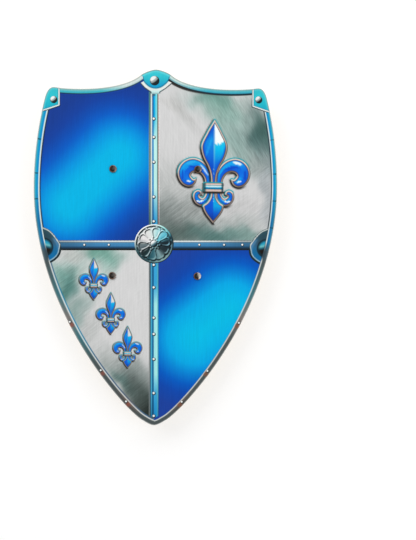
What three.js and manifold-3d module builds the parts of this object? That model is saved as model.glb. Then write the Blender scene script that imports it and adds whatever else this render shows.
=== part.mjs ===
// A toy heater shield: a flat plywood board with two leather arm straps on its back.
// Each strap is held by two studs that pass through the board into round caps on its front.
// Millimetres. The shield lies face up on its straps: +Z is the printed front, +Y the shield's top.

import * as THREE from "three";
import { mergeVertices } from "three/addons/utils/BufferGeometryUtils.js";
import Module from "manifold-3d";

const wasm = await Module();
wasm.setup();

// Driving dimensions
const shieldHeight = 450;
const shieldWidth = 308;
const boardThickness = 6;

const strapWidth = 20;
const strapThickness = 2.5;
const strapOffsetX = 53.75; // each strap's centre line from the shield's axis
const strapCentreY = 31.5; // above the middle of the shield's height
const studSpacing = 135; // between the two studs of one strap
const strapEnd = 12.4; // strap beyond its stud's centre
const strapGap = 24; // clear height under a strap's bow, for an arm or a hand
const crownHalfLength = 20; // the flat middle of the bow, which the shield lies on
const padInnerReach = 9; // flat pad on the bow's side of a stud

const shankRadius = 2.2;
const studHoleRadius = 2.5;
const studHeadRadius = 5.25;
const studHeadHeight = 2.2;
const capRadius = 4.75;
const capHeight = 1.3;
const capSocketDepth = 0.7;

const turnedSides = 24;

// Heights that follow from them
const padTop = strapThickness + strapGap; // a strap's pads end here, against the board's back
const boardFront = padTop + boardThickness;

const plywood = new THREE.MeshStandardMaterial({ color: "#e3d2ae", roughness: 0.6, metalness: 0 });
const leather = new THREE.MeshStandardMaterial({ color: "#1d1c1d", roughness: 0.5, metalness: 0 });
const zinc = new THREE.MeshStandardMaterial({ color: "#a3ab92", roughness: 0.3, metalness: 1 });
const gunmetal = new THREE.MeshStandardMaterial({ color: "#3a3734", roughness: 0.4, metalness: 0.9 });

// Solids

function solidOf(geometry) {
  geometry.deleteAttribute("normal");
  geometry.deleteAttribute("uv");
  const merged = mergeVertices(geometry, 1e-4);
  const mesh = new wasm.Mesh({
    numProp: 3,
    vertProperties: merged.attributes.position.array,
    triVerts: new Uint32Array(merged.index.array),
  });
  return new wasm.Manifold(mesh);
}

function geometryOf(solid) {
  const mesh = solid.getMesh();
  const geometry = new THREE.BufferGeometry();
  geometry.setAttribute("position", new THREE.BufferAttribute(mesh.vertProperties, 3));
  geometry.setIndex(new THREE.BufferAttribute(mesh.triVerts, 1));
  geometry.computeVertexNormals();
  return geometry;
}

function extruded(shape, depth, curveSegments) {
  return new THREE.ExtrudeGeometry(shape, { depth, curveSegments, bevelEnabled: false });
}

// A profile of [radius, height] pairs from the axis round to the axis, turned about Z.
function turned(profile, segments) {
  const points = profile.map(([radius, height]) => new THREE.Vector2(radius, height));
  return new THREE.LatheGeometry(points, segments).rotateX(Math.PI / 2);
}

function roundHole(radius, x, y, low, high) {
  const cutter = new THREE.CylinderGeometry(radius, radius, high - low, 32).rotateX(Math.PI / 2);
  return solidOf(cutter.translate(x, y, (low + high) / 2));
}

// The board

// The right half of the outline, from the peak at the top down to the tip, about the middle of
// the shield's height. Each step is a curve: its control points, then its end.
const halfHeight = shieldHeight / 2;
const halfWidth = shieldWidth / 2;
const shoulder = new THREE.Vector2(129, 202); // where the hollow top meets the rounded corner
const cornerEnd = new THREE.Vector2(140, 190);
const flank = new THREE.Vector2(19, 218); // where the peak's crown runs into the hollow
const tipStart = new THREE.Vector2(14.3, 6.2 - halfHeight); // where the tip starts to round
const rightHalf = [
  [4, halfHeight, 15, 221.4, flank.x, flank.y],
  [41.6, 199, 96.5, 198, shoulder.x, shoulder.y],
  [136.3, 202.7, cornerEnd.x, cornerEnd.y],
  [halfWidth, 135.5, halfWidth, 76],
  [halfWidth, -83, 33, 15.9 - halfHeight, tipStart.x, tipStart.y],
  [11, 4.4 - halfHeight, 5, -halfHeight, 0, -halfHeight],
];

function boardShape() {
  const shape = new THREE.Shape();
  shape.moveTo(0, halfHeight);
  for (const step of rightHalf) {
    if (step.length === 6) shape.bezierCurveTo(...step);
    else shape.quadraticCurveTo(...step);
  }
  // the left half goes back up the same curves, mirrored
  const starts = [[0, halfHeight], ...rightHalf.map((step) => step.slice(-2))];
  for (let i = rightHalf.length - 1; i >= 0; i--) {
    const [startX, startY] = starts[i];
    const controls = rightHalf[i].slice(0, -2);
    if (controls.length === 4) {
      const [ax, ay, bx, by] = controls;
      shape.bezierCurveTo(-bx, by, -ax, ay, -startX, startY);
    } else {
      const [ax, ay] = controls;
      shape.quadraticCurveTo(-ax, ay, -startX, startY);
    }
  }
  return shape;
}

const studPlaces = [];
for (const [strap, side] of [["arm", -1], ["hand", 1]]) {
  for (const [end, along] of [["top", 1], ["bottom", -1]]) {
    const x = side * strapOffsetX;
    const y = strapCentreY + (along * studSpacing) / 2;
    studPlaces.push({ name: `${strap}_${end}`, x, y });
  }
}

function board() {
  let solid = solidOf(extruded(boardShape(), boardThickness, 16).translate(0, 0, padTop));
  for (const { x, y } of studPlaces) {
    solid = solid.subtract(roundHole(studHoleRadius, x, y, padTop - 1, boardFront + 1));
  }
  return geometryOf(solid);
}

// A strap, about its own middle: the side view of its bow, cut to the round-ended plan

// The side view: a flat crown, a flank on each side that bends like a strip, and two flat pads.
function bowShape() {
  const end = studSpacing / 2 + strapEnd;
  const padStart = studSpacing / 2 - padInnerReach;
  const reach = (padStart - crownHalfLength) * 0.55; // length of the flank curve's handles
  const lean = strapThickness * 0.25; // parts the two faces so the slope is as thick as the rest
  const shape = new THREE.Shape();
  shape.moveTo(-crownHalfLength, 0);
  shape.lineTo(crownHalfLength, 0);
  shape.bezierCurveTo(crownHalfLength + reach + lean, 0,
    padStart - reach + lean, strapGap, padStart + lean, strapGap);
  shape.lineTo(end, strapGap);
  shape.lineTo(end, padTop);
  shape.lineTo(padStart - lean, padTop);
  shape.bezierCurveTo(padStart - reach - lean, padTop,
    crownHalfLength + reach - lean, strapThickness, crownHalfLength - lean, strapThickness);
  shape.lineTo(lean - crownHalfLength, strapThickness);
  shape.bezierCurveTo(lean - crownHalfLength - reach, strapThickness,
    lean + reach - padStart, padTop, lean - padStart, padTop);
  shape.lineTo(-end, padTop);
  shape.lineTo(-end, strapGap);
  shape.lineTo(-padStart - lean, strapGap);
  shape.bezierCurveTo(reach - lean - padStart, strapGap,
    -crownHalfLength - reach - lean, 0, -crownHalfLength, 0);
  return shape;
}

function planShape() {
  const radius = strapWidth / 2;
  const straight = studSpacing / 2 + strapEnd - radius;
  const shape = new THREE.Shape();
  shape.moveTo(radius, -straight);
  shape.lineTo(radius, straight);
  shape.absarc(0, straight, radius, 0, Math.PI, false);
  shape.lineTo(-radius, -straight);
  shape.absarc(0, -straight, radius, Math.PI, 2 * Math.PI, false);
  return shape;
}

function strap() {
  // the bow is drawn along X and up Y, then turned so that it runs along Y and rises along Z
  const bow = extruded(bowShape(), strapWidth + 2, 14).translate(0, 0, -strapWidth / 2 - 1);
  bow.rotateX(Math.PI / 2).rotateZ(Math.PI / 2);
  const plan = extruded(planShape(), padTop + 2, 14).translate(0, 0, -1);
  let solid = solidOf(bow).intersect(solidOf(plan));
  for (const along of [1, -1]) {
    const y = (along * studSpacing) / 2;
    solid = solid.subtract(roundHole(studHoleRadius, 0, y, strapGap - 1, padTop + 1));
  }
  return geometryOf(solid);
}

// Studs and caps, each about its own axis

// A stud: a domed head with a dimple, under the pad, and a shank up into the cap's socket.
function stud() {
  const headLow = strapGap - studHeadHeight;
  const shankTop = boardFront + capSocketDepth;
  const dimpleRadius = 1.5;
  const dimpleDepth = 0.5;
  const domeSteps = 6;
  const profile = [[0, headLow + dimpleDepth]];
  for (let i = 0; i <= domeSteps; i++) {
    const share = i / domeSteps;
    const radius = dimpleRadius + (studHeadRadius - dimpleRadius) * Math.sin((share * Math.PI) / 2);
    const rise = (studHeadHeight - 0.3) * (1 - Math.cos((share * Math.PI) / 2));
    profile.push([radius, headLow + rise]);
  }
  profile.push([studHeadRadius, strapGap], [shankRadius, strapGap]);
  profile.push([shankRadius, shankTop], [0, shankTop]);
  return turned(profile, turnedSides);
}

// A cap: a raised rim round a shallow ring and a low dome, with a socket for the shank below.
function cap() {
  const low = boardFront;
  const top = boardFront + capHeight;
  const profile = [
    [0, low + capSocketDepth],
    [studHoleRadius, low + capSocketDepth],
    [studHoleRadius, low],
    [capRadius - 0.2, low],
    [capRadius, low + 0.25],
    [capRadius - 0.15, top - 0.2],
    [capRadius - 0.65, top],
    [capRadius - 1.2, top - 0.15],
    [capRadius - 1.5, top - 0.42],
    [capRadius - 2, top - 0.38],
    [capRadius - 3.2, top - 0.22],
    [0, top - 0.15],
  ];
  return turned(profile, turnedSides);
}

// The shield

function add(group, name, geometry, material, x = 0, y = 0) {
  const mesh = new THREE.Mesh(geometry, material);
  mesh.name = name;
  mesh.position.set(x, y, 0);
  group.add(mesh);
}

const shield = new THREE.Group();
add(shield, "board", board(), plywood);
add(shield, "arm_strap", strap(), leather, -strapOffsetX, strapCentreY);
add(shield, "hand_strap", strap(), leather, strapOffsetX, strapCentreY);
for (const { name, x, y } of studPlaces) {
  add(shield, `${name}_stud`, stud(), zinc, x, y);
  add(shield, `${name}_cap`, cap(), gunmetal, x, y);
}

export default shield;
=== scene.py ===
# A toy heater shield: a plywood board, printed on its front, with two leather arm straps behind.
import math
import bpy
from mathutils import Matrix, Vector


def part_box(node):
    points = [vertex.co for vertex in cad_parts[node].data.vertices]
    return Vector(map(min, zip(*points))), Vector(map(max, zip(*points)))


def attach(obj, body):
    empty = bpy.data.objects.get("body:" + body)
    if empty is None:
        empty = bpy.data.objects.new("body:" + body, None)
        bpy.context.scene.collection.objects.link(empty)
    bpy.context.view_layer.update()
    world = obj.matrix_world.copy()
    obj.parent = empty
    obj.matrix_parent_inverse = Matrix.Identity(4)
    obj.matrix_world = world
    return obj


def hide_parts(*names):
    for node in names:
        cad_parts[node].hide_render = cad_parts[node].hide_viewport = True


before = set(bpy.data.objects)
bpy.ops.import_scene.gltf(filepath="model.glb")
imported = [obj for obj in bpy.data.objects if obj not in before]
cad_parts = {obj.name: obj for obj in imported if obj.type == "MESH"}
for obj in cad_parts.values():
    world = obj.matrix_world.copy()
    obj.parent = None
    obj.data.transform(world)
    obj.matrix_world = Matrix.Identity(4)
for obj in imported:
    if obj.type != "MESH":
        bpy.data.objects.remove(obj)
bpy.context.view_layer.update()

from types import SimpleNamespace

import bmesh
import bpy
import numpy as np
from mathutils import Vector
from mathutils.geometry import delaunay_2d_cdt

mm = 0.001
boardLow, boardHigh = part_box("board")
boardBack = boardLow.z / mm
boardFront = boardHigh.z / mm
print("frame loaded, board from", round(boardBack, 2), "to", round(boardFront, 2), "mm")


# Colours and nodes

def inkOf(code):
    return np.array([int(code[i:i + 2], 16) / 255 for i in (0, 2, 4)])


def toLinear(srgb):
    srgb = np.asarray(srgb, float)
    return np.where(srgb <= 0.04045, srgb / 12.92, ((srgb + 0.055) / 1.055) ** 2.4)


def colour(code):
    return (*toLinear(inkOf(code)), 1.0)


def addNode(tree, kind, settings=None, links=None):
    node = tree.nodes.new(kind)
    for name, value in (settings or {}).items():
        setattr(node, name, value)
    for key, value in (links or {}).items():
        if isinstance(value, bpy.types.NodeSocket):
            tree.links.new(value, node.inputs[key])
        else:
            node.inputs[key].default_value = value
    return node


def newMaterial(name, roughness=0.5, metallic=0.0, ior=1.5):
    material = bpy.data.materials.new(name)
    material.use_nodes = True
    tree = material.node_tree
    surface = tree.nodes["Principled BSDF"]
    surface.inputs["Roughness"].default_value = roughness
    surface.inputs["Metallic"].default_value = metallic
    surface.inputs["IOR"].default_value = ior
    return material, tree, surface


def addRamp(tree, factor, stops):
    ramp = addNode(tree, "ShaderNodeValToRGB", links={"Fac": factor})
    elements = ramp.color_ramp.elements
    while len(elements) < len(stops):
        elements.new(0.5)
    for element, (place, code) in zip(elements, stops):
        element.position = place
        element.color = colour(code)
    return ramp.outputs["Color"]


# Camera, floor and light. The camera looks straight down on the printed face.

view = {"lens": 85, "sensor": 36, "height": 683, "aimX": 67.2, "aimY": -28.1, "roll": 0.0063}
studio = {"floor": "b4b4b4", "floorGlow": 0.57, "world": 0.48, "keyWatts": 18, "fillWatts": 10.5, "size": 1.4}


def placeCamera():
    data = bpy.data.cameras.new("camera")
    data.lens = view["lens"]
    data.sensor_width = view["sensor"]
    camera = bpy.data.objects.new("camera", data)
    distance = view["height"] * view["lens"] / view["sensor"]
    camera.location = (view["aimX"] * mm, view["aimY"] * mm, (boardFront + distance) * mm)
    camera.rotation_euler = (0, 0, view["roll"])
    bpy.context.scene.collection.objects.link(camera)
    bpy.context.scene.camera = camera


def makeFloor():
    bpy.ops.mesh.primitive_plane_add(size=8, location=(0, 0, -0.0002))
    floor = bpy.context.object
    floor.name = "floor"
    material, tree, surface = newMaterial("matt white studio board", roughness=0.9)
    surface.inputs["Base Color"].default_value = colour(studio["floor"])
    surface.inputs["Specular IOR Level"].default_value = 0.1
    surface.inputs["Emission Color"].default_value = (1, 1, 1, 1)
    surface.inputs["Emission Strength"].default_value = studio["floorGlow"]
    floor.data.materials.append(material)


def addLight(name, watts, place, size):
    data = bpy.data.lights.new(name, "AREA")
    data.energy = watts
    data.size = size
    light = bpy.data.objects.new(name, data)
    light.location = place
    light.rotation_euler = (-Vector(place)).to_track_quat("-Z", "Y").to_euler()
    bpy.context.scene.collection.objects.link(light)


def lightStudio():
    world = bpy.data.worlds.new("studio")
    world.use_nodes = True
    world.node_tree.nodes["Background"].inputs["Color"].default_value = (1, 1, 1, 1)
    world.node_tree.nodes["Background"].inputs["Strength"].default_value = studio["world"]
    bpy.context.scene.world = world
    addLight("key", studio["keyWatts"], (-1.1, 1.0, 1.3), studio["size"])
    addLight("fill", studio["fillWatts"], (1.3, -0.5, 1.2), studio["size"])
    addLight("back", studio["fillWatts"], (0.3, 1.5, 1.0), studio["size"])
    bpy.context.scene.view_settings.view_transform = "Standard"


placeCamera()
makeFloor()
lightStudio()


# Flat shapes, in millimetres. A loop runs with the material on its left.

def evenly(line, step, closed=False):
    line = np.vstack([line, line[:1]]) if closed else np.asarray(line, float)
    length = np.concatenate([[0], np.cumsum(np.linalg.norm(np.diff(line, axis=0), axis=1))])
    count = max(2, int(round(length[-1] / step)))
    places = np.linspace(0, length[-1], count + 1)
    if closed:
        places = places[:-1]
    return np.stack([np.interp(places, length, line[:, k]) for k in (0, 1)], 1)


def smoothLine(points, step, closed=False):
    points = np.asarray(points, float)
    if closed:
        points = np.vstack([points[-2:], points, points[:3]])
    gaps = np.diff(points, axis=0)
    chord = np.linalg.norm(gaps, axis=1)
    slope = gaps / chord[:, None]
    before, after = chord[:-1, None], chord[1:, None]
    inner = (slope[:-1] * after + slope[1:] * before) / (before + after)
    tangent = np.vstack([slope[:1], inner, slope[-1:]])
    first, last = (2, len(points) - 3) if closed else (0, len(points) - 1)
    dense = []
    for i in range(first, last):
        t = np.linspace(0, 1, max(3, int(chord[i] / step * 2)), endpoint=False)[:, None]
        along = tangent[i] * (t - 2 * t ** 2 + t ** 3) + tangent[i + 1] * (t ** 3 - t ** 2)
        ease = 3 * t ** 2 - 2 * t ** 3
        dense.append(points[i] * (1 - ease) + points[i + 1] * ease + along * chord[i])
    if not closed:
        dense.append(points[-1:])
    return evenly(np.vstack(dense), step, closed)


def leftNormals(loop):
    way = np.roll(loop, -1, 0) - np.roll(loop, 1, 0)
    way /= np.linalg.norm(way, axis=1)[:, None] + 1e-12
    return np.stack([-way[:, 1], way[:, 0]], 1)


def inset(loop, depth):
    return loop + leftNormals(loop) * depth


def nearest(points, loop, closed=True):
    after = np.roll(loop, -1, 0) - loop
    if not closed:
        loop, after = loop[:-1], after[:-1]
    square = (after ** 2).sum(1) + 1e-12
    depth = np.empty(len(points))
    index = np.empty(len(points), int)
    for start in range(0, len(points), 1500):
        part = points[start:start + 1500, None] - loop
        t = np.clip((part * after).sum(-1) / square, 0, 1)
        gap = np.linalg.norm(part - after * t[..., None], axis=-1)
        index[start:start + 1500] = gap.argmin(1)
        depth[start:start + 1500] = gap.min(1)
    return depth, index


def within(points, loop):
    x, y = points[:, 0, None], points[:, 1, None]
    ends = np.roll(loop, -1, 0)
    crosses = (loop[:, 1] > y) != (ends[:, 1] > y)
    rise = ends[:, 1] - loop[:, 1]
    at = loop[:, 0] + (y - loop[:, 1]) * (ends[:, 0] - loop[:, 0]) / np.where(rise == 0, 1, rise)
    return (crosses & (x < at)).sum(1) % 2 == 1


def insideAll(points, borders):
    inside = within(points, borders[0])
    for hole in borders[1:]:
        inside &= ~within(points, hole)
    return inside


# Points inside the borders: a staggered grid, and rows that follow the outer border at each level.
def innerPoints(borders, spacing, levels, levelStep):
    loop = borders[0]
    found = []
    for level in levels:
        row = evenly(inset(loop, level), levelStep, closed=True)
        row = row[insideAll(row, borders)]
        if len(row):
            depth, _ = nearest(row, loop)
            found.append(row[np.abs(depth - level) < 0.03])
    if spacing:
        low, high = loop.min(0), loop.max(0)
        rows = np.arange(low[1] + spacing / 2, high[1], spacing * 0.866)
        columns = np.arange(low[0] + spacing / 4, high[0], spacing)
        grid = np.vstack([np.stack([columns + (i % 2) * spacing / 2, np.full(len(columns), y)], 1)
                          for i, y in enumerate(rows)])
        grid = grid[insideAll(grid, borders)]
        for i, border in enumerate(borders):
            depth, _ = nearest(grid, border)
            clear = spacing * 0.45 + (max(levels) if i == 0 and len(levels) else 0)
            grid = grid[depth > clear]
        found.append(grid)
    return np.vstack(found) if found else np.zeros((0, 2))


def triangulate(borders, inner):
    points = np.vstack([*borders, inner])
    edges = []
    start = 0
    for border in borders:
        count = len(border)
        edges += [(start + i, start + (i + 1) % count) for i in range(count)]
        start += count
    vertices, _, faces, origins, _, _ = delaunay_2d_cdt(
        [Vector(p) for p in points], edges, [], 0, 1e-5)
    source = [min(origin) if origin else -1 for origin in origins]
    if min(source) < 0 or len(set(source)) < len(source):
        raise ValueError("a border crosses itself")
    faces = np.array([[source[i] for i in face] for face in faces])
    faces = faces[insideAll(points[faces].mean(1), borders)]
    a, b, c = points[faces[:, 0]], points[faces[:, 1]], points[faces[:, 2]]
    area = (b[:, 0] - a[:, 0]) * (c[:, 1] - a[:, 1]) - (b[:, 1] - a[:, 1]) * (c[:, 0] - a[:, 0])
    faces[area < 0] = faces[area < 0][:, ::-1]
    return faces[np.abs(area) > 1e-9]


# A flat solid. Its rings, from the top face down to the bottom face, are (inset, height).
def slab(borders, rings, spacing=0, levels=(), levelStep=1.2, inner=None):
    if inner is None:
        top = [inset(border, rings[0][0]) for border in borders]
        inner = innerPoints(top, spacing, levels, levelStep)
    points, heights, faces = [], [], []
    ringStart = []
    start = 0
    for ringInset, height in rings:
        ringStart.append(start)
        for border in borders:
            points.append(inset(border, ringInset))
            heights.append(np.full(len(border), height))
            start += len(border)
    points.append(inner)
    heights.append(np.full(len(inner), rings[0][1]))
    borderCount = ringStart[1]
    topBorders = [inset(border, rings[0][0]) for border in borders]
    bottomBorders = [inset(border, rings[-1][0]) for border in borders]
    top = triangulate(topBorders, inner)
    faces += [[i if i < borderCount else i - borderCount + start for i in face] for face in top]
    topCount = len(faces)
    bottom = triangulate(bottomBorders, np.zeros((0, 2)))
    faces += [[i + ringStart[-1] for i in face[::-1]] for face in bottom]
    for upper, lower in zip(ringStart, ringStart[1:]):
        offset = 0
        for border in borders:
            count = len(border)
            for i in range(count):
                a, b = offset + i, offset + (i + 1) % count
                faces.append([upper + b, upper + a, lower + a, lower + b])
            offset += count
    return SimpleNamespace(points=np.vstack(points), heights=np.concatenate(heights),
                           faces=faces, topCount=topCount)


def meshObject(name, places, faces, material):
    mesh = bpy.data.meshes.new(name)
    mesh.from_pydata((np.asarray(places) * mm).tolist(), [], faces)
    mesh.materials.append(material)
    obj = bpy.data.objects.new(name, mesh)
    bpy.context.scene.collection.objects.link(obj)
    return obj


# The board's own borders: the outline first, then the stud holes
def frontLoops(node):
    shape = bmesh.new()
    shape.from_mesh(node.data)
    bmesh.ops.remove_doubles(shape, verts=shape.verts, dist=1e-6)
    shape.normal_update()
    following = {}
    for edge in shape.edges:
        fronts = [loop for loop in edge.link_loops if loop.face.normal.z > 0.9]
        if len(fronts) == 1:
            following[fronts[0].vert] = fronts[0].link_loop_next.vert
    loops = []
    while following:
        vert = next(iter(following))
        loop = []
        while vert in following:
            loop.append((vert.co.x / mm, vert.co.y / mm))
            vert = following.pop(vert)
        loops.append(np.array(loop))
    shape.free()
    return sorted(loops, key=len, reverse=True)


boardLoops = frontLoops(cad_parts["board"])
outline = smoothLine(boardLoops[0], 1.5, closed=True)
outline = np.roll(outline, -int(outline[:, 1].argmax()), 0)
studHoles = [evenly(hole, 0.9, closed=True) for hole in boardLoops[1:]]
print("outline of", len(outline), "points,", len(studHoles), "stud holes")


# The board: birch plywood, its front skin left out where the print lies

board = {"printDepth": 0.3, "edgeRound": 0.3, "printMargin": 0.12, "veneers": 5, "grainWidth": 2.2,
         "grainLength": 90}
boardTop = boardFront - board["printDepth"]


# Birch plywood, sanded and raw: pale faces with a faint long grain, and edges that show the
# veneers, every second one cut across its grain and so darker, with thin glue lines between.
def birchPlywood():
    material, tree, surface = newMaterial("birch plywood", roughness=0.62, ior=1.45)
    place = addNode(tree, "ShaderNodeTexCoord").outputs["Object"]
    grainScale = (1 / (board["grainWidth"] * mm), 1 / (board["grainLength"] * mm), 400)
    stretched = addNode(tree, "ShaderNodeMapping", links={"Vector": place, "Scale": grainScale})
    grain = addNode(tree, "ShaderNodeTexNoise",
                    links={"Vector": stretched.outputs[0], "Scale": 1.0, "Detail": 3.0, "Distortion": 0.6})
    cloudy = addNode(tree, "ShaderNodeMapping", links={"Vector": place, "Scale": (26, 9, 10)})
    cloud = addNode(tree, "ShaderNodeTexNoise",
                    links={"Vector": cloudy.outputs[0], "Scale": 1.0, "Detail": 2.0})
    face = addRamp(tree, cloud.outputs["Fac"],
                   [(0.28, "e6c9a2"), (0.45, "e7d2ab"), (0.6, "e8d8b4"), (0.75, "ecd3ae")])
    streaks = addRamp(tree, grain.outputs["Fac"], [(0.3, "ecdcc0"), (0.5, "ffffff"), (0.75, "f8efe0")])
    faceInk = addNode(tree, "ShaderNodeMix", {"data_type": "RGBA", "blend_type": "MULTIPLY"},
                      {0: 0.4, 6: face, 7: streaks})
    height = addNode(tree, "ShaderNodeSeparateXYZ", links={0: place}).outputs["Z"]
    veneer = (boardFront - boardBack) * mm / board["veneers"]
    ply = addNode(tree, "ShaderNodeMath", {"operation": "MULTIPLY_ADD"},
                  {0: height, 1: 1 / veneer, 2: -boardBack * mm / veneer})
    share = addNode(tree, "ShaderNodeMath", {"operation": "PINGPONG"}, {0: ply.outputs[0], 1: 1.0})
    edgeInk = addRamp(tree, share.outputs[0],
                      [(0.0, "7d5a36"), (0.1, "d9bd8c"), (0.45, "dcc295"), (0.55, "a87e50"), (0.9, "b08a5c")])
    normal = addNode(tree, "ShaderNodeNewGeometry").outputs["Normal"]
    up = addNode(tree, "ShaderNodeSeparateXYZ", links={0: normal}).outputs["Z"]
    flat = addNode(tree, "ShaderNodeMath", {"operation": "ABSOLUTE"}, {0: up})
    isFace = addNode(tree, "ShaderNodeMath", {"operation": "GREATER_THAN"}, {0: flat.outputs[0], 1: 0.75})
    ink = addNode(tree, "ShaderNodeMix", {"data_type": "RGBA"},
                  {0: isFace.outputs[0], 6: edgeInk, 7: faceInk.outputs[2]})
    tree.links.new(ink.outputs[2], surface.inputs["Base Color"])
    bump = addNode(tree, "ShaderNodeBump", links={"Strength": 0.15, "Distance": 0.0002,
                                                  "Height": grain.outputs["Fac"]})
    tree.links.new(bump.outputs[0], surface.inputs["Normal"])
    return material


def finishPiece(obj, slotName, *nodes):
    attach(obj, "root")
    if nodes:
        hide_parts(*nodes)


def roundedRings(low, high, radius, steps=3):
    angles = [math.pi / 2 * (1 - i / steps) for i in range(steps + 1)]
    upper = [(radius * (1 - math.cos(a)), high - radius * (1 - math.sin(a))) for a in angles]
    return upper + [(depth, low + high - height) for depth, height in reversed(upper)]


def makeBoard():
    rings = roundedRings(boardBack, boardTop, board["edgeRound"])
    holes = [inset(hole, 0) for hole in studHoles]
    body = slab([outline, *holes], rings, spacing=9)
    places = np.column_stack([body.points, body.heights])
    obj = meshObject("board_visual", places, body.faces, birchPlywood())
    finishPiece(obj, "plywood", "board")
    return obj


makeBoard()
print("board made")


# The print: thin inked films on the board's front, each as high as its layer

layers = {"field": 0.05, "bar": 0.1, "rim": 0.15, "plate": 0.2, "badge": 0.25, "dot": 0.3}
printFrame = {"turn": 0.0063, "shift": -1.24}


# The picture's bars and fields lie slightly turned and shifted on the board
def fromPrint(points):
    points = np.asarray(points, float)
    u, v = points[..., 0] + printFrame["shift"], points[..., 1]
    c, s = math.cos(printFrame["turn"]), math.sin(printFrame["turn"])
    return np.stack([u * c - v * s, u * s + v * c], -1)


def toPrint(x, y):
    c, s = math.cos(printFrame["turn"]), math.sin(printFrame["turn"])
    return x * c + y * s - printFrame["shift"], y * c - x * s


def rampInk(value, stops):
    places = [place for place, _ in stops]
    codes = np.array([inkOf(code) for _, code in stops])
    return np.stack([np.interp(value, places, codes[:, k]) for k in range(3)], -1)


def mixInk(under, over, share):
    if isinstance(over, str):
        over = inkOf(over)
    if isinstance(under, str):
        under = inkOf(under)
    return under + (over - under) * np.clip(share, 0, 1)[..., None]


# Satin lacquer over pigment ink on plywood: the ink is in the mesh, and the wood's long grain
# and the brushed strokes of the painted steel show through it.
def printedInk():
    material, tree, surface = newMaterial("pigment print under satin lacquer", roughness=0.42, ior=1.45)
    surface.inputs["Specular IOR Level"].default_value = 0.1
    ink = addNode(tree, "ShaderNodeAttribute", {"attribute_name": "ink"})
    place = addNode(tree, "ShaderNodeTexCoord").outputs["Object"]
    grained = addNode(tree, "ShaderNodeMapping", links={"Vector": place, "Scale": (700, 40, 100)})
    grain = addNode(tree, "ShaderNodeTexNoise",
                    links={"Vector": grained.outputs[0], "Scale": 1.0, "Detail": 2.0})
    grainShade = addNode(tree, "ShaderNodeMapRange",
                         links={"Value": grain.outputs["Fac"], "From Min": 0.3, "From Max": 0.7,
                                "To Min": 0.95, "To Max": 1.04})
    brushed = addNode(tree, "ShaderNodeAttribute", {"attribute_name": "brushed"}).outputs["Fac"]
    strokes = []
    for turn in (38, -62):
        turned = addNode(tree, "ShaderNodeMapping", {"vector_type": "TEXTURE"},
                         {"Vector": place, "Rotation": (0, 0, math.radians(turn)),
                          "Scale": (0.016, 0.0018, 0.01)})
        stroke = addNode(tree, "ShaderNodeTexNoise",
                         links={"Vector": turned.outputs[0], "Scale": 1.0, "Detail": 3.0, "Distortion": 0.7})
        strokes.append(stroke.outputs["Fac"])
    leftward = addNode(tree, "ShaderNodeMath", {"operation": "LESS_THAN"}, {0: brushed, 1: 0.0})
    either = addNode(tree, "ShaderNodeMix", links={0: leftward.outputs[0], 2: strokes[0], 3: strokes[1]})
    centred = addNode(tree, "ShaderNodeMath", {"operation": "SUBTRACT"}, {0: either.outputs[0], 1: 0.5})
    strength = addNode(tree, "ShaderNodeMath", {"operation": "ABSOLUTE"}, {0: brushed})
    strokeShade = addNode(tree, "ShaderNodeMath", {"operation": "MULTIPLY_ADD"},
                          {0: centred.outputs[0], 1: strength.outputs[0], 2: 1.0})
    shade = addNode(tree, "ShaderNodeMath", {"operation": "MULTIPLY"},
                    {0: grainShade.outputs[0], 1: strokeShade.outputs[0]})
    shaded = addNode(tree, "ShaderNodeVectorMath", {"operation": "SCALE"},
                     {0: ink.outputs["Color"], "Scale": shade.outputs[0]})
    tree.links.new(shaded.outputs[0], surface.inputs["Base Color"])
    bump = addNode(tree, "ShaderNodeBump", links={"Strength": 0.05, "Distance": 0.0001,
                                                  "Height": grain.outputs["Fac"]})
    tree.links.new(bump.outputs[0], surface.inputs["Normal"])
    return material


printMaterial = printedInk()


def addInk(obj, ink, brushed):
    rgba = np.ones((len(ink), 4))
    rgba[:, :3] = toLinear(np.clip(ink, 0, 1))
    layer = obj.data.color_attributes.new("ink", "FLOAT_COLOR", "POINT")
    layer.data.foreach_set("color", rgba.ravel())
    strength = obj.data.attributes.new("brushed", "FLOAT", "POINT")
    strength.data.foreach_set("value", np.broadcast_to(brushed, len(ink)).astype(np.float32).copy())


# The printed face fills the map, and the hidden sides lie in a strip below it
def addFlatMap(obj, points, topCount):
    low, high = points.min(0), points.max(0)
    spread = (points - low) / (high - low)
    uv = obj.data.uv_layers.new(name="OFBake")
    corners = np.empty((len(obj.data.loops), 2))
    for polygon in obj.data.polygons:
        base, room = (0.03, 0.965) if polygon.index < topCount else (0.003, 0.015)
        for loop in polygon.loop_indices:
            u, v = spread[obj.data.loops[loop].vertex_index]
            corners[loop] = (0.004 + 0.992 * u, base + room * v)
    uv.data.foreach_set("uv", corners.ravel())


def film(name, borders, paint, layer, spacing=0, levels=(), levelStep=1.2, inner=None):
    rings = [(0, boardTop + layers[layer]), (0, boardTop)]
    body = slab(borders, rings, spacing, levels, levelStep, inner)
    depth, edge = nearest(body.points, borders[0])
    x, y = body.points.T
    spots = SimpleNamespace(x=x, y=y, depth=depth, edge=edge, facing=-leftNormals(borders[0])[edge])
    painted = paint(spots)
    ink, brushed = painted if isinstance(painted, tuple) else (painted, 0.0)
    obj = meshObject(name, np.column_stack([body.points, body.heights]), body.faces, printMaterial)
    addInk(obj, ink, brushed)
    addFlatMap(obj, body.points, body.topCount)
    finishPiece(obj, "printed_face")
    return obj


# The four fields. Two are blue with a bright band across, two are clouded brushed steel.

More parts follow.
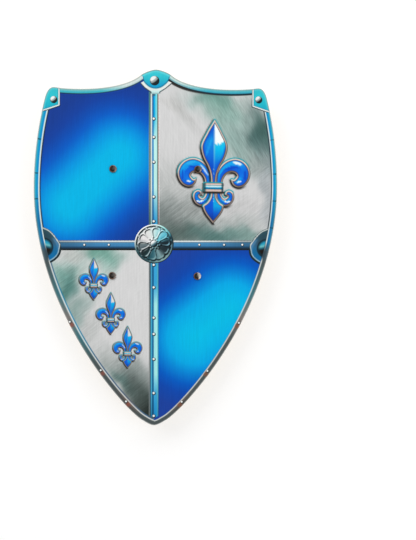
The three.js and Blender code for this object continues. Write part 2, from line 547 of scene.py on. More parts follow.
fields = {
    "barHeight": 2.6,  # the horizontal bar's centre line
    # inks by distance from the middle of a bright band
    "upperRamp": [(0, "00b0e0"), (14, "00aede"), (24, "00a2dc"), (34, "0090d8"), (45, "0074cc"),
                  (56, "0458bc"), (66, "0a4aaa"), (78, "123e98"), (92, "163a8c")],
    "lowerRamp": [(0, "00b8e0"), (18, "00b2e2"), (34, "00a4e0"), (45, "0084d2"), (60, "0058bc"),
                  (72, "0c46a8"), (90, "1a409a")],
    "upperBand": ((-107, 54), (-44, 115)),
    "lowerBand": ((51, -114), (98, -78)),
    "upperSteel": "cccccc",
    "lowerSteel": "d0d0d0",
    # clouds: middle, half sizes, turn in degrees, ink, strength
    "upperClouds": [
        ((24, 180), (16, 8), -20, "b8b8b6", 0.5),
        ((40, 168), (8, 28), 28, "aaacaa", 0.5),
        ((78, 187), (32, 12), -10, "5f8c82", 0.95),
        ((88, 171), (32, 15), -22, "7fa49a", 0.85),
        ((98, 140), (22, 34), 10, "8aa8a1", 0.8),
        ((114, 178), (14, 14), 0, "a8b4b0", 0.6),
        ((112, 126), (18, 26), 8, "86a09b", 0.75),
        ((137, 144), (17, 33), 16, "3c5c58", 1.0),
        ((141, 122), (17, 28), 8, "4c6a68", 0.95),
        ((132, 106), (20, 22), 10, "909c9a", 0.7),
        ((10, 72), (44, 36), 10, "acb0ae", 0.6),
        ((8, 36), (30, 26), 24, "687270", 0.85),
        ((44, 48), (34, 18), 30, "848c8a", 0.8),
        ((60, 60), (30, 14), 40, "a0a4a2", 0.5),
        ((36, 18), (48, 18), 4, "4c5c58", 0.9),
        ((86, 14), (44, 14), -3, "507470", 0.95),
        ((114, 17), (22, 10), -10, "7a9892", 0.8),
        ((100, 50), (40, 14), 0, "bababa", 0.6),
        ((104, 32), (44, 10), 0, "a6acaa", 0.7),
        ((144, 70), (10, 44), 4, "98a0a4", 0.7)],
    "lowerClouds": [
        ((-66, -9), (28, 12), -6, "639688", 0.95),
        ((-60, -20), (12, 14), 30, "8cb2a8", 0.6),
        ((-112, -33), (22, 15), 0, "86aca2", 0.85),
        ((-106, -9), (16, 10), 0, "b2b8b4", 0.8),
        ((-92, -30), (14, 12), 0, "aec0ba", 0.6),
        ((-117, -44), (13, 20), -20, "6f9a92", 0.8),
        ((-112, -56), (12, 30), -24, "55807a", 1.0),
        ((-98, -82), (13, 26), -30, "809a95", 0.85),
        ((-84, -106), (15, 30), -32, "b0b4b2", 0.6),
        ((-52, -150), (28, 14), -52, "9aa29f", 0.7),
        ((-22, -166), (30, 19), -44, "7a8683", 0.85),
        ((-40, -172), (24, 9), -48, "567470", 0.85),
        ((-16, -188), (28, 22), -48, "46524f", 0.95),
        ((-4, -206), (16, 24), -30, "262f2c", 1.0)],
}


def bandDistance(u, v, ends):
    (ax, ay), (bx, by) = ends
    length = (bx - ax) ** 2 + (by - ay) ** 2
    t = np.clip(((u - ax) * (bx - ax) + (v - ay) * (by - ay)) / length, 0, 1)
    return np.hypot(u - ax - t * (bx - ax), v - ay - t * (by - ay))


def clouded(u, v, base, clouds):
    ink = np.broadcast_to(inkOf(base), (len(u), 3)).copy()
    brushed = np.full(len(u), 0.1)
    wavy = 3.2 * np.sin(v / 7.3 + u / 15) + 1.8 * np.sin(u / 4.1 - v / 6.2)
    u, v = u + wavy, v + 2.6 * np.sin(u / 8.7 - v / 19) + 1.5 * np.sin(u / 3.7 + v / 5.3)
    for (cu, cv), (halfU, halfV), turn, code, strength in clouds:
        c, s = math.cos(math.radians(turn)), math.sin(math.radians(turn))
        along = ((u - cu) * c + (v - cv) * s) / halfU
        across = ((v - cv) * c - (u - cu) * s) / halfV
        share = strength * np.exp(-(along ** 2 + across ** 2) ** 1.4)
        ink = mixInk(ink, code, share)
        brushed += share * (1.2 - share) * 0.9
    return ink, np.minimum(brushed, 1.3)


def fieldInk(x, y):
    u, v = toPrint(x, y)
    above = v > fields["barHeight"]
    upperBlue = rampInk(bandDistance(u, v, fields["upperBand"]), fields["upperRamp"])
    lowerBlue = rampInk(bandDistance(u, v, fields["lowerBand"]), fields["lowerRamp"])
    upperSteel, upperBrushed = clouded(u, v, fields["upperSteel"], fields["upperClouds"])
    lowerSteel, lowerBrushed = clouded(u, v, fields["lowerSteel"], fields["lowerClouds"])
    blue = (u < 0) == above
    ink = np.where((blue & above)[:, None], upperBlue, lowerBlue)
    ink = np.where((~blue & above)[:, None], upperSteel, ink)
    ink = np.where((~blue & ~above)[:, None], lowerSteel, ink)
    steep = above & (v > 75 + 0.2 * u)
    brushed = np.where(blue, 0.05, np.where(above, upperBrushed, lowerBrushed) * np.where(steep, -1, 1))
    return ink, brushed


def cut(loop, point, way):
    side = (loop - point) @ np.asarray(way, float)
    kept = []
    for i in range(len(loop)):
        j = (i + 1) % len(loop)
        if side[i] >= 0:
            kept.append(loop[i])
        if (side[i] >= 0) != (side[j] >= 0):
            kept.append(loop[i] + (loop[j] - loop[i]) * side[i] / (side[i] - side[j]))
    return np.array(kept)


def refined(loop, step):
    out = []
    for a, b in zip(loop, np.roll(loop, -1, 0)):
        count = max(1, int(np.linalg.norm(b - a) / step))
        out += [a + (b - a) * i / count for i in range(count)]
    return np.array(out)


def makeFields():
    under = outline + leftNormals(outline) * 3.0
    middle = fromPrint([0, fields["barHeight"]])
    right = fromPrint([1, 0]) - fromPrint([0, 0])
    up = fromPrint([0, 1]) - fromPrint([0, 0])
    quarters = {"blue_upper_print": (-1, 1), "steel_upper_print": (1, 1),
                "steel_lower_print": (-1, -1), "blue_lower_print": (1, -1)}
    for name, (across, along) in quarters.items():
        loop = cut(cut(under, middle, right * across), middle, up * along)
        loop = refined(evenly(loop, 2.5, closed=True), 2.5)
        holes = [hole for hole in studHoles if within(hole[:1], loop)[0]]
        film(name, [loop, *holes], lambda s, a=across, b=along: quarterInk(s, middle, right * a, up * b),
             "field", spacing=2.6)


# A point just across a quarter's edge takes the quarter's own ink
def quarterInk(spots, middle, right, up):
    place = np.stack([spots.x, spots.y], 1) - middle
    for way in (right, up):
        reach = place @ way
        place += np.maximum(0.3 - reach, 0)[:, None] * way
    place += middle
    return fieldInk(place[:, 0], place[:, 1])


makeFields()
print("fields printed")

# The rim and the bars: strips of metal whose inks lie in bands along them. Each station along a
# strip names one ink for each band.

rim = {
    "width": 9.4,
    "bandEdges": (-1, 0.7, 1.7, 3.4, 5.0, 5.8, 7.3, 9.5),  # depths from the edge
    "rightReach": 0.88,  # the right side's bands are this much narrower
    "seams": {-1: (137, 94, 61), 1: (137, 93, 59, 25)},
    "rivets": [(107, -95), (67.5, -156), (35.2, -195.2)],
    # a finish is one ink for each band: edge, outer, body, inner body, groove, line, shadow
    "finishes": {
        "silver": "b4b8b4 b4c4c0 d2dcd8 bccfd0 4c707a 1e2a30 22282c",
        "shadedSilver": "b0b4b0 a8c0bc c0d8d4 7eb0b8 22292c 2a2a28 302c2a",
        "shadedJade": "acc4c6 6ca4a6 50b0bc 38a4ba 1c5068 1c2a2e 484e4e",
        "jade": "c0cccb 7fa6a4 62b8bc 38acbc 3a9aaa 162a34 2c363c",
        "enamel": "bec8ca 5e9aa6 22a2c0 068ac4 1494c6 dce6e4 1c2c3a",
        "deepEnamel": "b8c6c8 587c8a 227aa0 14649a 2a7ca8 d6e0de 1a2830",
        "iron": "b2b6b6 606c72 46585f 3c4e58 34444c 3c4c54 18262c",
        "verdigris": "bcc2c2 647c80 427276 3a6c78 648a90 c6d6d8 207c9c",
        "rust": "cac8c6 867f7c 78726e 76726e 86827e d4d8d6 2c88b0",
        "steel": "b8bcbc 5c6464 485050 4a5456 5a6060 cacecc 40607c",
        "brownSteel": "a2a6a4 50504c 4c4a48 685a54 6c6056 c6c6c2 5c6470",
    },
    # place along the edge in mm, depth where the field begins, finish
    "leftTop": [(17, 6.0, "silver"), (38, 6.0, "silver"), (70, 6.2, "jade"), (129, 6.6, "jade")],
    "rightTop": [(17, 8.4, "shadedSilver"), (34, 8.4, "shadedSilver"), (66, 7.8, "shadedJade"),
                 (129, 7.4, "shadedJade")],
    "leftSide": [
        (175, 8.3, "enamel"), (70, 8.3, "enamel"), (30, 8.3, "deepEnamel"), (6, 8.3, "deepEnamel"),
        (-6, 8.3, "iron"), (-14, 8.3, "iron"), (-20, 8.3, "steel"), (-60, 8.3, "verdigris"),
        (-90, 8.3, "rust"), (-115, 8.4, "verdigris"), (-150, 8.5, "steel"), (-180, 8.6, "steel"),
        (-200, 8.6, "brownSteel"), (-216, 8.6, "steel")],
    "rightSide": [
        (175, 8.6, "enamel"), (70, 8.6, "enamel"), (30, 8.6, "deepEnamel"), (6, 8.6, "deepEnamel"),
        (-6, 8.6, "iron"), (-13, 8.6, "iron"), (-19, 7.6, "steel"), (-60, 7.3, "verdigris"),
        (-90, 7.3, "rust"), (-115, 7.3, "steel"), (-180, 7.3, "steel"), (-200, 7.3, "brownSteel"),
        (-216, 7.3, "steel")],
}


# Inks of a painted moulding: bands across it, and one finish running into the next along it
def stripInk(along, across, edges, stations, finishes, soft):
    order = sorted(stations)
    at = np.array([row[0] for row in order], float)
    codes = np.array([[inkOf(code) for code in finishes[row[-1]].split()] for row in order])
    table = np.repeat(codes, 2, axis=1)
    inner = np.repeat(np.array(edges[1:-1], float), 2)
    inner[0::2] -= soft / 2
    inner[1::2] += soft / 2
    places = np.concatenate([edges[:1], inner, edges[-1:]])
    t = np.interp(along, at, np.arange(len(at)))
    s = np.interp(across, places, np.arange(len(places)))
    i = np.minimum(t.astype(int), len(at) - 2)
    j = np.minimum(s.astype(int), len(places) - 2)
    t, s = (t - i)[:, None], (s - j)[:, None]
    near = table[i, j] * (1 - s) + table[i, j + 1] * s
    far = table[i + 1, j] * (1 - s) + table[i + 1, j + 1] * s
    return near * (1 - t) + far * t


def ease(value, low, high):
    t = np.clip((value - low) / (high - low), 0, 1)
    return t * t * (3 - 2 * t)


def rimInk(spots):
    points = np.stack([spots.x, spots.y], 1)
    depth, edge = nearest(points, outline)
    at = outline[edge]
    half = int(outline[:, 1].argmin())
    corner = (np.abs(outline[:half, 0]) + outline[:half, 1]).argmax()
    onTop = (edge < corner) | (edge > len(outline) - corner)
    onLeft = edge < half
    ink = fieldInk(spots.x, spots.y)[0]
    for name, chosen, along in (("leftTop", onLeft & onTop, np.abs(at[:, 0])),
                                ("rightTop", ~onLeft & onTop, np.abs(at[:, 0])),
                                ("leftSide", onLeft & ~onTop, at[:, 1]),
                                ("rightSide", ~onLeft & ~onTop, at[:, 1])):
        rows = sorted(rim[name])
        reach = rim["rightReach"] if name == "rightSide" else 1.0
        across = depth[chosen] / reach
        start = np.interp(along[chosen], [row[0] for row in rows], [row[1] for row in rows])
        strip = stripInk(along[chosen], across, rim["bandEdges"], rows, rim["finishes"], 0.5)
        ink[chosen] = mixInk(strip, ink[chosen], ease(across, start - 0.2, start + 0.8))
    for side, seams in rim["seams"].items():
        for seam in seams:
            share = (np.sign(at[:, 0]) == side) & ~onTop & (depth > 0.8) & (depth < 5.4)
            ink = mixInk(ink, "14404c", share * 0.75 * (np.abs(at[:, 1] - seam) < 0.8))
    for x, y in rim["rivets"]:
        for side in (-1, 1):
            gap = np.hypot(spots.x - side * (x - 2.6), (spots.y - y + 3.4))
            share = 0.75 * np.exp(-(gap / 3.4) ** 4) * (depth < 5.8)
            ink = mixInk(ink, "8a4c40" if side < 0 else "82503c", share)
    return ink, 0.12


# The loop at a depth inside a border, without the folds where the border turns sharply
def innerLoop(loop, depth, step):
    row = inset(loop, depth)
    gap, _ = nearest(row, loop)
    return evenly(row[gap > depth - 0.05], step, closed=True)


def makeRim():
    outer = evenly(inset(outline, board["printMargin"]), 1.0, closed=True)
    inner = innerLoop(outline, rim["width"], 1.0)[::-1]
    film("rim_print", [outer, inner], rimInk, "rim",
         levels=(0.3, 0.7, 1.1, 1.5, 2.1, 2.8, 3.5, 4.1, 4.6, 5.0, 5.4, 5.8, 6.2, 6.6, 7.0, 7.4, 7.8, 8.3),
         levelStep=0.9)


makeRim()
print("rim printed")


bars = {
    "uprightEdges": (-7, -5.3, -4.3, -2.4, -0.4, 1.8, 3.9, 4.9, 6.0, 8),
    # a finish is one ink for each band across the bar
    "finishes": {
        "blueToSteel": "4a8084 30545a d2dcd6 0c62a0 18a8dc 74d8e0 506864 b4a098 dcdcdc",
        "lightToSteel": "7c908a 405a5a d0d8d2 1a82be b8e8e2 b8e8e2 50746e b29a92 dadada",
        "shadeToSteel": "4a6a6c 344c4e 8cb2b4 0c4e84 2c90cc 40a0cc 38707c 806060 a2a2a0",
        "steelToBlue": "747e80 34424a 3c98bc 0f5484 3a9ed0 34a0d0 54a8bc 2c6880 2246a0",
        "steelToLight": "9a9e9c 3c484c 3fa6c8 0f5e90 98dee2 a6e4e2 74ccd0 2c7088 1a5cbc",
        "steelToShade": "6c7474 2c3434 20749c 0f446c 1a80b8 1c8cc8 3c8caa 1c4c74 26409c",
        "level": "1c2022 1c3a54 2c6490 4080b0 488ab6 2c5a78 d6dcda 283a64",
    },
    # place along the bar, finish
    "upright": [
        (196, "blueToSteel"), (168, "blueToSteel"), (138, "lightToSteel"), (74, "lightToSteel"),
        (34, "shadeToSteel"), (-24, "steelToBlue"), (-46, "steelToBlue"), (-72, "steelToLight"),
        (-160, "steelToLight"), (-188, "steelToBlue"), (-216, "steelToShade")],
    "levelEdges": (-6.2, -4.0, -2.4, -0.9, 1.9, 3.4, 4.1, 6.1, 7),
    "level": [(-122, "level"), (122, "level")],
    "uprightEnd": "3c5458",
    "levelEnd": "1c2c38",
    "rightEdge": "546460",
    "uprightRivets": (162.6, 139.3, 107.9, 63.8, 32.8, -22.3, -50.8, -89.2, -109.8, -141.5, -184.5, -213.4),
    "levelRivets": (-88, -57, 57.5, 88.8, 111.9),
}


def uprightInk(spots):
    u, v = toPrint(spots.x, spots.y)
    ink = stripInk(v, u, bars["uprightEdges"], bars["upright"], bars["finishes"], 0.45)
    between = ease(u, -2.8, -2.2) * (1 - ease(u, 1.4, 2.2))
    return mixInk(ink, bars["uprightEnd"], between * ease(v, 190.8, 192.2) * (1 - ease(v, 193, 194))), 0.05


def levelInk(spots):
    u, v = toPrint(spots.x, spots.y)
    across = v - fields["barHeight"]
    ink = stripInk(u, across, bars["levelEdges"], bars["level"], bars["finishes"], 0.7)
    ink = mixInk(ink, bars["levelEnd"], 0.32 * ease(np.abs(u), 60, 122))
    return mixInk(ink, bars["rightEdge"], (u > 0) * ease(across, 5.8, 6.4)), 0.08


def barLoop(lowU, highU, lowV, highV, step=0.8):
    corners = fromPrint([(lowU, lowV), (highU, lowV), (highU, highV), (lowU, highV)])
    return refined(corners, step)


# Points for a bar's film: rows along it, close together across it
def barRows(lowU, highU, lowV, highV, alongStep, acrossStep, upright):
    stepU, stepV = (acrossStep, alongStep) if upright else (alongStep, acrossStep)
    us = np.linspace(lowU, highU, max(2, round((highU - lowU) / stepU)) + 1)[1:-1]
    vs = np.linspace(lowV, highV, max(2, round((highV - lowV) / stepV)) + 1)[1:-1]
    return fromPrint(np.stack(np.meshgrid(us, vs), -1).reshape(-1, 2))


def makeBars():
    centre = fields["barHeight"]
    for name, box in (("upper", (-6.6, 7.0, centre, 197)), ("lower", (-6.6, 5.7, -217.5, centre))):
        film(f"upright_{name}_print", [barLoop(*box)], uprightInk, "bar",
             inner=barRows(*box, 2.0, 0.4, True))
    for name, low, high in (("left", -123, -12), ("right", 12, 123)):
        box = (low, high, centre - 6.2, centre + 6.5)
        film(f"level_{name}_print", [barLoop(*box)], levelInk, "bar",
             inner=barRows(*box, 2.0, 0.4, False))


makeBars()
print("bars printed")


# Plates on the rim: one on the peak with a bracket under it, one on each corner, and a half
# round one at each end of the level bar

plates = {
    "peak": [(-16.8, 215.8), (-15.6, 211), (-12, 206.2), (-6.7, 202.6), (-0.7, 201.4), (5.5, 202.6),
             (11, 206.2), (15.4, 211), (17.3, 215.8)],
    "peakInk": [(200, "0a90c8"), (206, "1a9cc4"), (213, "2ab4c4"), (220, "35c0cc"), (226, "2cb4c0")],
    "bracket": [(-20.2, 207.6), (-14.5, 201.6), (-6.8, 196.2), (-6.6, 194.2), (5.4, 194.2), (5.2, 196.2),
                (13, 201.2), (20.8, 208)],
    "corner": [(121, 203), (121, 178.2), (127, 176.2), (134, 173.8), (142, 171.2)],
    "cornerInk": [(170, "169cbc"), (182, "1fb0c2"), (192, "2cbcc8"), (202, "34b4c0")],
    # a side plate's border from its top to its lower end, for the right side
    "side": [(141.6, 25), (133.6, 21.1), (127.1, 14.7), (122.9, 8.9), (120, 4.5), (118.8, -1.4),
             (119.2, -7.2), (121.8, -12.4), (126, -16.6), (132.5, -20.8)],
    "sideInk": [(-21, "0a6098"), (-12, "0c689f"), (-2, "1c6490"), (5, "3a6686"), (12, "2e4e5c"),
                (25, "2a4852")],
    "sideDepth": 7.0,
    "dome": {"x": 140.8, "y": -0.6, "radius": 10.8},
}


# The part of the outline between two of its points, at an inset
def edgeRun(depth, first, last):
    row = inset(outline, depth)
    a = int(np.linalg.norm(row - first, axis=1).argmin())
    b = int(np.linalg.norm(row - last, axis=1).argmin())
    if (b - a) % len(row) > len(row) / 2:
        return edgeRun(depth, last, first)[::-1]
    return row[np.arange(a, a + (b - a) % len(row) + 1) % len(row)]


def counterClockwise(loop):
    x, y = loop.T
    area = (x * np.roll(y, -1) - y * np.roll(x, -1)).sum()
    return loop if area > 0 else loop[::-1]


def domeInk(x, y, radius, light, mid, dark):
    r = np.hypot(x, y) / radius
    slope = np.clip(r, 0, 1)
    height = np.sqrt(np.clip(1 - slope ** 2, 0, 1))
    lit = (-0.5 * x + 0.66 * y) / radius + 0.35 * height
    ink = rampInk(lit, [(-0.5, dark), (0.06, dark), (0.3, mid), (0.46, mid), (0.64, light), (1, light)])
    return mixInk(ink, "1a2426", ease(r, 0.8, 0.9) * ease(-lit, -0.95, -0.1) * 0.9)


def peakInk(spots):
    points = np.stack([spots.x, spots.y], 1)
    ink = rampInk(spots.y, plates["peakInk"])
    arc = smoothLine(plates["peak"], 0.5)
    gap, _ = nearest(points, arc, closed=False)
    ink = mixInk(ink, "0c5c84", 0.85 * (1 - ease(gap, 0.5, 1.2)))
    depth, _ = nearest(points, outline)
    ink = mixInk(ink, "8a9088", 0.9 * (1 - ease(depth, 0.7, 1.5)))
    return mixInk(ink, "7fd8dc", 0.5 * ease(depth, 1.0, 1.6) * (1 - ease(depth, 2.4, 4.0))), 0.08


def bracketInk(spots):
    points = np.stack([spots.x, spots.y], 1)
    lower = evenly(np.array(plates["bracket"]), 0.6)
    gap, _ = nearest(points, lower, closed=False)
    arc = smoothLine(plates["peak"], 0.5)
    plateGap, _ = nearest(points, arc, closed=False)
    ink = np.broadcast_to(inkOf("dfe2de"), (len(points), 3))
    ink = mixInk(ink, "a8dcdc", ease(-spots.y, -201, -196) * 0.7)
    ink = mixInk(ink, "26363c", 0.9 * (1 - ease(gap, 0.8, 1.5)) * ease(spots.y, 194.4, 195.4))
    return mixInk(ink, "3c94a4", 0.8 * (1 - ease(plateGap, 0.3, 1.2))), 0.05


def cornerPaint(side):
    def paint(spots):
        points = np.stack([spots.x * side, spots.y], 1)
        inner = smoothLine(plates["corner"][1:], 0.5)
        inner = np.vstack([plates["corner"][0], inner])
        gap, _ = nearest(points, inner, closed=False)
        depth, _ = nearest(points, outline)
        ink = rampInk(spots.y, plates["cornerInk"])
        ink = mixInk(ink, "7fd4d4", 0.4 * (1 - ease(depth, 1.4, 4.0)))
        ink = mixInk(ink, "0f6478", 0.8 * ease(gap, 2.2, 2.7) * (1 - ease(gap, 2.8, 3.5)))
        ink = mixInk(ink, "e4e8e6", ease(gap, 0.8, 1.2) * (1 - ease(gap, 2.2, 2.7)))
        ink = mixInk(ink, "1d2226", 1 - ease(gap, 0.7, 1.2))
        return mixInk(ink, "8a9a9a", 0.9 * (1 - ease(depth, 0.7, 1.4))), 0.06
    return paint


def sidePaint(side):
    border = smoothLine(plates["side"], 0.5)
    dome = plates["dome"]

    def paint(spots):
        x, y = spots.x * side, spots.y
        ring, _ = nearest(np.stack([x, y], 1), border, closed=False)
        low = ease(-y, -4, 5)
        ink = rampInk(y, plates["sideInk"])
        ink = mixInk(ink, "26404c", 0.6 * ease(ring, 3, 8) * ease(y, 0, 8))
        lit = np.exp(-((ring - 3.6) / 1.6) ** 2) * ease(y, -10, 2) * (1 - ease(y, 8, 14))
        ink = mixInk(ink, "4f88b4", 0.6 * lit)
        start = 0.4 + 1.9 * low
        ink = mixInk(ink, "d2d8d4", (0.95 - 0.25 * low) * ease(ring, start, start + 0.5)
                     * (1 - ease(ring, start + 1.1, start + 1.8)))
        ink = mixInk(ink, "1c2c30", 1 - ease(ring, start - 0.1, start + 0.4))
        inDome = np.hypot(x - dome["x"], y - dome["y"]) / dome["radius"]
        lit = (y - dome["y"]) / dome["radius"] - 0.2 * (x - dome["x"]) / dome["radius"]
        body = rampInk(lit, [(-1, "14100f"), (-0.1, "1c1614"), (0.1, "1c5468"), (0.35, "6cb8bc"),
                             (0.6, "2a9ab8"), (0.85, "1f8cb4"), (1.1, "38a0b4")])
        ink = mixInk(ink, "14242c", 0.9 * (1 - ease(inDome, 1.04, 1.2)))
        body = mixInk(body, "14343f", 0.8 * ease(inDome, 0.7, 0.98))
        return mixInk(ink, body, 1 - ease(inDome, 0.94, 1.0)), 0.06
    return paint


def makePlates():
    peakArc = smoothLine(plates["peak"], 0.7)
    top = edgeRun(board["printMargin"], peakArc[-1], peakArc[0])
    peak = counterClockwise(evenly(np.vstack([peakArc, top]), 0.7, closed=True))
    film("peak_plate_print", [peak], peakInk, "badge", spacing=0.8)
    lower = np.array(plates["bracket"], float)
    upper = inset(peakArc, 0.6)[::-1][8:-8]
    bracket = counterClockwise(refined(np.vstack([lower, upper]), 0.7))
    film("bracket_print", [bracket], bracketInk, "plate", spacing=0.7)
    for name, side in (("left", -1), ("right", 1)):
        inner = smoothLine(plates["corner"][1:], 0.7)
        edge = edgeRun(board["printMargin"], inner[-1], np.array([plates["corner"][0][0], 201.0]))
        loop = np.vstack([inner, edge]) * (side, 1)
        if side < 0:
            loop = loop[::-1]
        loop = counterClockwise(evenly(loop, 0.7, closed=True))
        film(f"corner_{name}_print", [loop], cornerPaint(side), "plate", spacing=0.8)
        arc = smoothLine(plates["side"], 0.7)
        run = inset(outline, plates["sideDepth"])
        run = run[run[:, 0] > 0]
        run = run[np.argsort(run[:, 1])]
        arc = arc[arc[:, 0] < np.interp(arc[:, 1], run[:, 1], run[:, 0]) - 0.4]
        run = run[(run[:, 1] > arc[-1, 1]) & (run[:, 1] < arc[0, 1])]
        loop = counterClockwise(evenly(np.vstack([arc, run]) * (side, 1), 0.7, closed=True))
        film(f"side_{name}_print", [loop], sidePaint(side), "plate", spacing=0.8)


makePlates()
print("plates printed")


# Painted domes: the rivet heads of the plates

domes = {
    "places": [(-1.7, 210.9, 6.0), (-129.2, 186.2, 4.5), (130.1, 187.4, 4.5)],
    "inks": ("e8eae8", "98a2a2", "1c2628"),
}


def makeDomes():
    for x, y, radius in domes["places"]:
        angles = np.linspace(0, 2 * math.pi, 48, endpoint=False)
        loop = np.array([x, y]) + radius * np.stack([np.cos(angles), np.sin(angles)], 1)

        def paint(spots, x=x, y=y, radius=radius):
            return domeInk(spots.x - x, spots.y - y, radius, *domes["inks"]), 0.0

        name = "peak" if abs(x) < 10 else ("left" if x < 0 else "right")
        film(f"dome_{name}_print", [loop], paint, "dot", spacing=0.5)


makeDomes()


# The boss in the middle: ten petals round a knob, inside a scalloped ring. Its relief is a
# height, lit from the upper left.

boss = {
    "middle": (0.1, 4.6), "radius": 24.7, "petals": 10, "firstPetal": 9,
    "petalMiddle": 0.53, "petalLong": 0.29,
    # angle in degrees, then the inks of a petal there and of the outer ring
    "petalInks": [(-180, "5c6c6c"), (-171, "64747a"), (-137, "1c2a2c"), (-100, "2c5c68"), (-63, "78989c"),
                  (-36, "223036"), (7, "18262e"), (40, "5cb8cc"), (81, "b4dcdc"), (113, "dcdedc"),
                  (155, "e0dcdc"), (180, "8a9494")],
    "ringInks": [(-180, "9cb4b4"), (-165, "5a7c80"), (-150, "2f5054"), (-120, "2c4a50"), (-95, "34565a"),
                 (-75, "6c9090"), (-55, "a8c8c6"), (-38, "6c8c8c"), (-25, "22343a"), (0, "141f24"),
                 (22, "22404c"), (35, "60b0bc"), (60, "a8e8e4"), (90, "e0ecea"), (135, "e8ecea"),
                 (165, "dfe2e2"), (180, "9cb4b4")],
    "brightInks": [(-180, "dfe4e4"), (-150, "d8e0e0"), (-90, "7fa4a8"), (-45, "7c9c9c"), (0, "7fb4c8"),
                   (40, "8fe0ec"), (65, "e8f4f2"), (120, "ffffff"), (180, "dfe4e4")],
}


def scallopRadius(turn):
    wave = np.abs(np.sin(np.radians(turn - boss["firstPetal"]) * boss["petals"]))
    return 0.835 + 0.045 * wave, wave


def bossHeight(x, y):
    r = np.hypot(x, y)
    turn = np.degrees(np.arctan2(y, x))
    step = 360 / boss["petals"]
    offset = (turn - boss["firstPetal"] + step / 2) % step - step / 2
    along = np.abs((r - boss["petalMiddle"]) / boss["petalLong"])
    q = ((np.abs(offset) / (step / 2)) ** 3 + along ** 3) ** (1 / 3)
    height = 0.07 * np.exp(-((q - 1.0) / 0.2) ** 2) + 0.03 * np.clip(1 - (q / 0.8) ** 2, 0, 1)
    height += 0.05 * np.exp(-((r - 0.95) / 0.045) ** 2)
    edge, wave = scallopRadius(turn)
    height -= 0.05 * (0.35 + 0.65 * wave) * np.exp(-((r - edge) / 0.026) ** 2)
    height += 0.12 * np.sqrt(np.clip(1 - (r / 0.17) ** 2, 0, 1)) + 0.03 * np.exp(-((r - 0.215) / 0.02) ** 2)
    between = np.radians(step / 2 - np.abs(offset))
    drop = np.hypot(r - 0.335, between * r) / 0.06
    return height + 0.05 * np.sqrt(np.clip(1 - drop ** 2, 0, 1))


def bossInk(spots):
    u, v = toPrint(spots.x, spots.y)
    x = (u - boss["middle"][0]) / boss["radius"]
    y = (v - boss["middle"][1]) / boss["radius"]
    r = np.hypot(x, y)
    turn = np.degrees(np.arctan2(y, x))
    reach = 0.008
    slopeX = (bossHeight(x + reach, y) - bossHeight(x - reach, y)) / (2 * reach)
    slopeY = (bossHeight(x, y + reach) - bossHeight(x, y - reach)) / (2 * reach)
    facing = (0.55 * slopeX - 0.65 * slopeY + 0.52) / np.sqrt(1 + slopeX ** 2 + slopeY ** 2) - 0.52
    ink = rampInk(turn, boss["petalInks"])
    ring = rampInk(turn, boss["ringInks"])
    ink = mixInk(ink, ring, ease(r, 0.8, 0.9))
    middle = rampInk(-x * 0.6 + y * 0.8,
                     [(-0.2, "1c3038"), (-0.02, "3c6470"), (0.05, "a8b8bc"), (0.15, "e8e4e4")])
    ink = mixInk(ink, middle, 1 - ease(r, 0.15, 0.24))
    bright = rampInk(turn, boss["brightInks"])
    ink = mixInk(ink, bright, ease(facing, 0.05, 0.42) * 0.9)
    ink = mixInk(ink, "0c1418", ease(-facing, 0.1, 0.6) * 0.92)
    edge, wave = scallopRadius(turn)
    ink = mixInk(ink, "22343a", (0.35 + 0.55 * wave) * np.exp(-((r - edge) / 0.024) ** 2))
    low = ease(-(-x * 0.64 + y * 0.77), -0.45, 0.2)
    return mixInk(ink, "22343a", 0.8 * low * ease(r, 0.955, 0.99)), 0.0


def makeBoss():
    angles = np.linspace(0, 2 * math.pi, 160, endpoint=False)
    ring = np.stack([np.cos(angles), np.sin(angles)], 1)
    loop = fromPrint(np.array(boss["middle"]) + boss["radius"] * ring)
    film("boss_print", [loop], bossInk, "plate", spacing=0.5)


makeBoss()
print("boss printed")


# The fleurs-de-lis. Each is painted on one film whose points lie close along every petal's edge.
# Shapes are in millimetres about the collar of the large one; the right half is given.

fleur = {
    "centre": [(0, 85.2), (9.6, 68.3), (16.5, 51), (13.2, 36.4), (8.2, 27.3), (4.8, 18.2), (3.4, 9.1),
               (3.2, 3.0)],
    "leaf": [(2.1, 3.5), (3.5, 18.2), (8.5, 26.9), (16.7, 33.7), (26.7, 36.4), (36.7, 33.3), (43.5, 26),
             (45.8, 18.2), (44, 9.1), (38.5, 2.3), (30.8, 0), (25.4, 2.2), (22.6, 6.4), (22.4, 10.5),
             (25.6, 9.6), (27.6, 11.2), (29.3, 14.2), (27.2, 17.6), (22.1, 19.0), (15.8, 16.2),
             (12.1, 10.9), (10.6, 3.5)],
    "scroll": [(2.6, -4.5), (3.4, -13.7), (8.0, -21), (15.3, -24.2), (22.3, -20.9), (25.9, -13.2),
               (24.3, -6.6), (19.2, -4.0), (15.4, -6.2), (15.0, -9.9), (17.8, -11.2), (14.0, -14.4),
               (10.6, -10.8), (9.6, -4.5)],
    "foot": [(2.9, -4), (4.1, -13.7), (8.2, -20), (13, -24.1), (12.6, -27.3), (9.1, -34.6), (5, -40),
             (0, -46)],
    "collar": (12, -6, 5),
    "rimWidth": 1.9, "rimLine": 0.5, "halo": 1.9,
    "rimLight": "cfc2bc", "rimMid": "a09088", "rimDark": "74665e", "rimCyan": "2a9ca8", "shadow": "24221f",
}
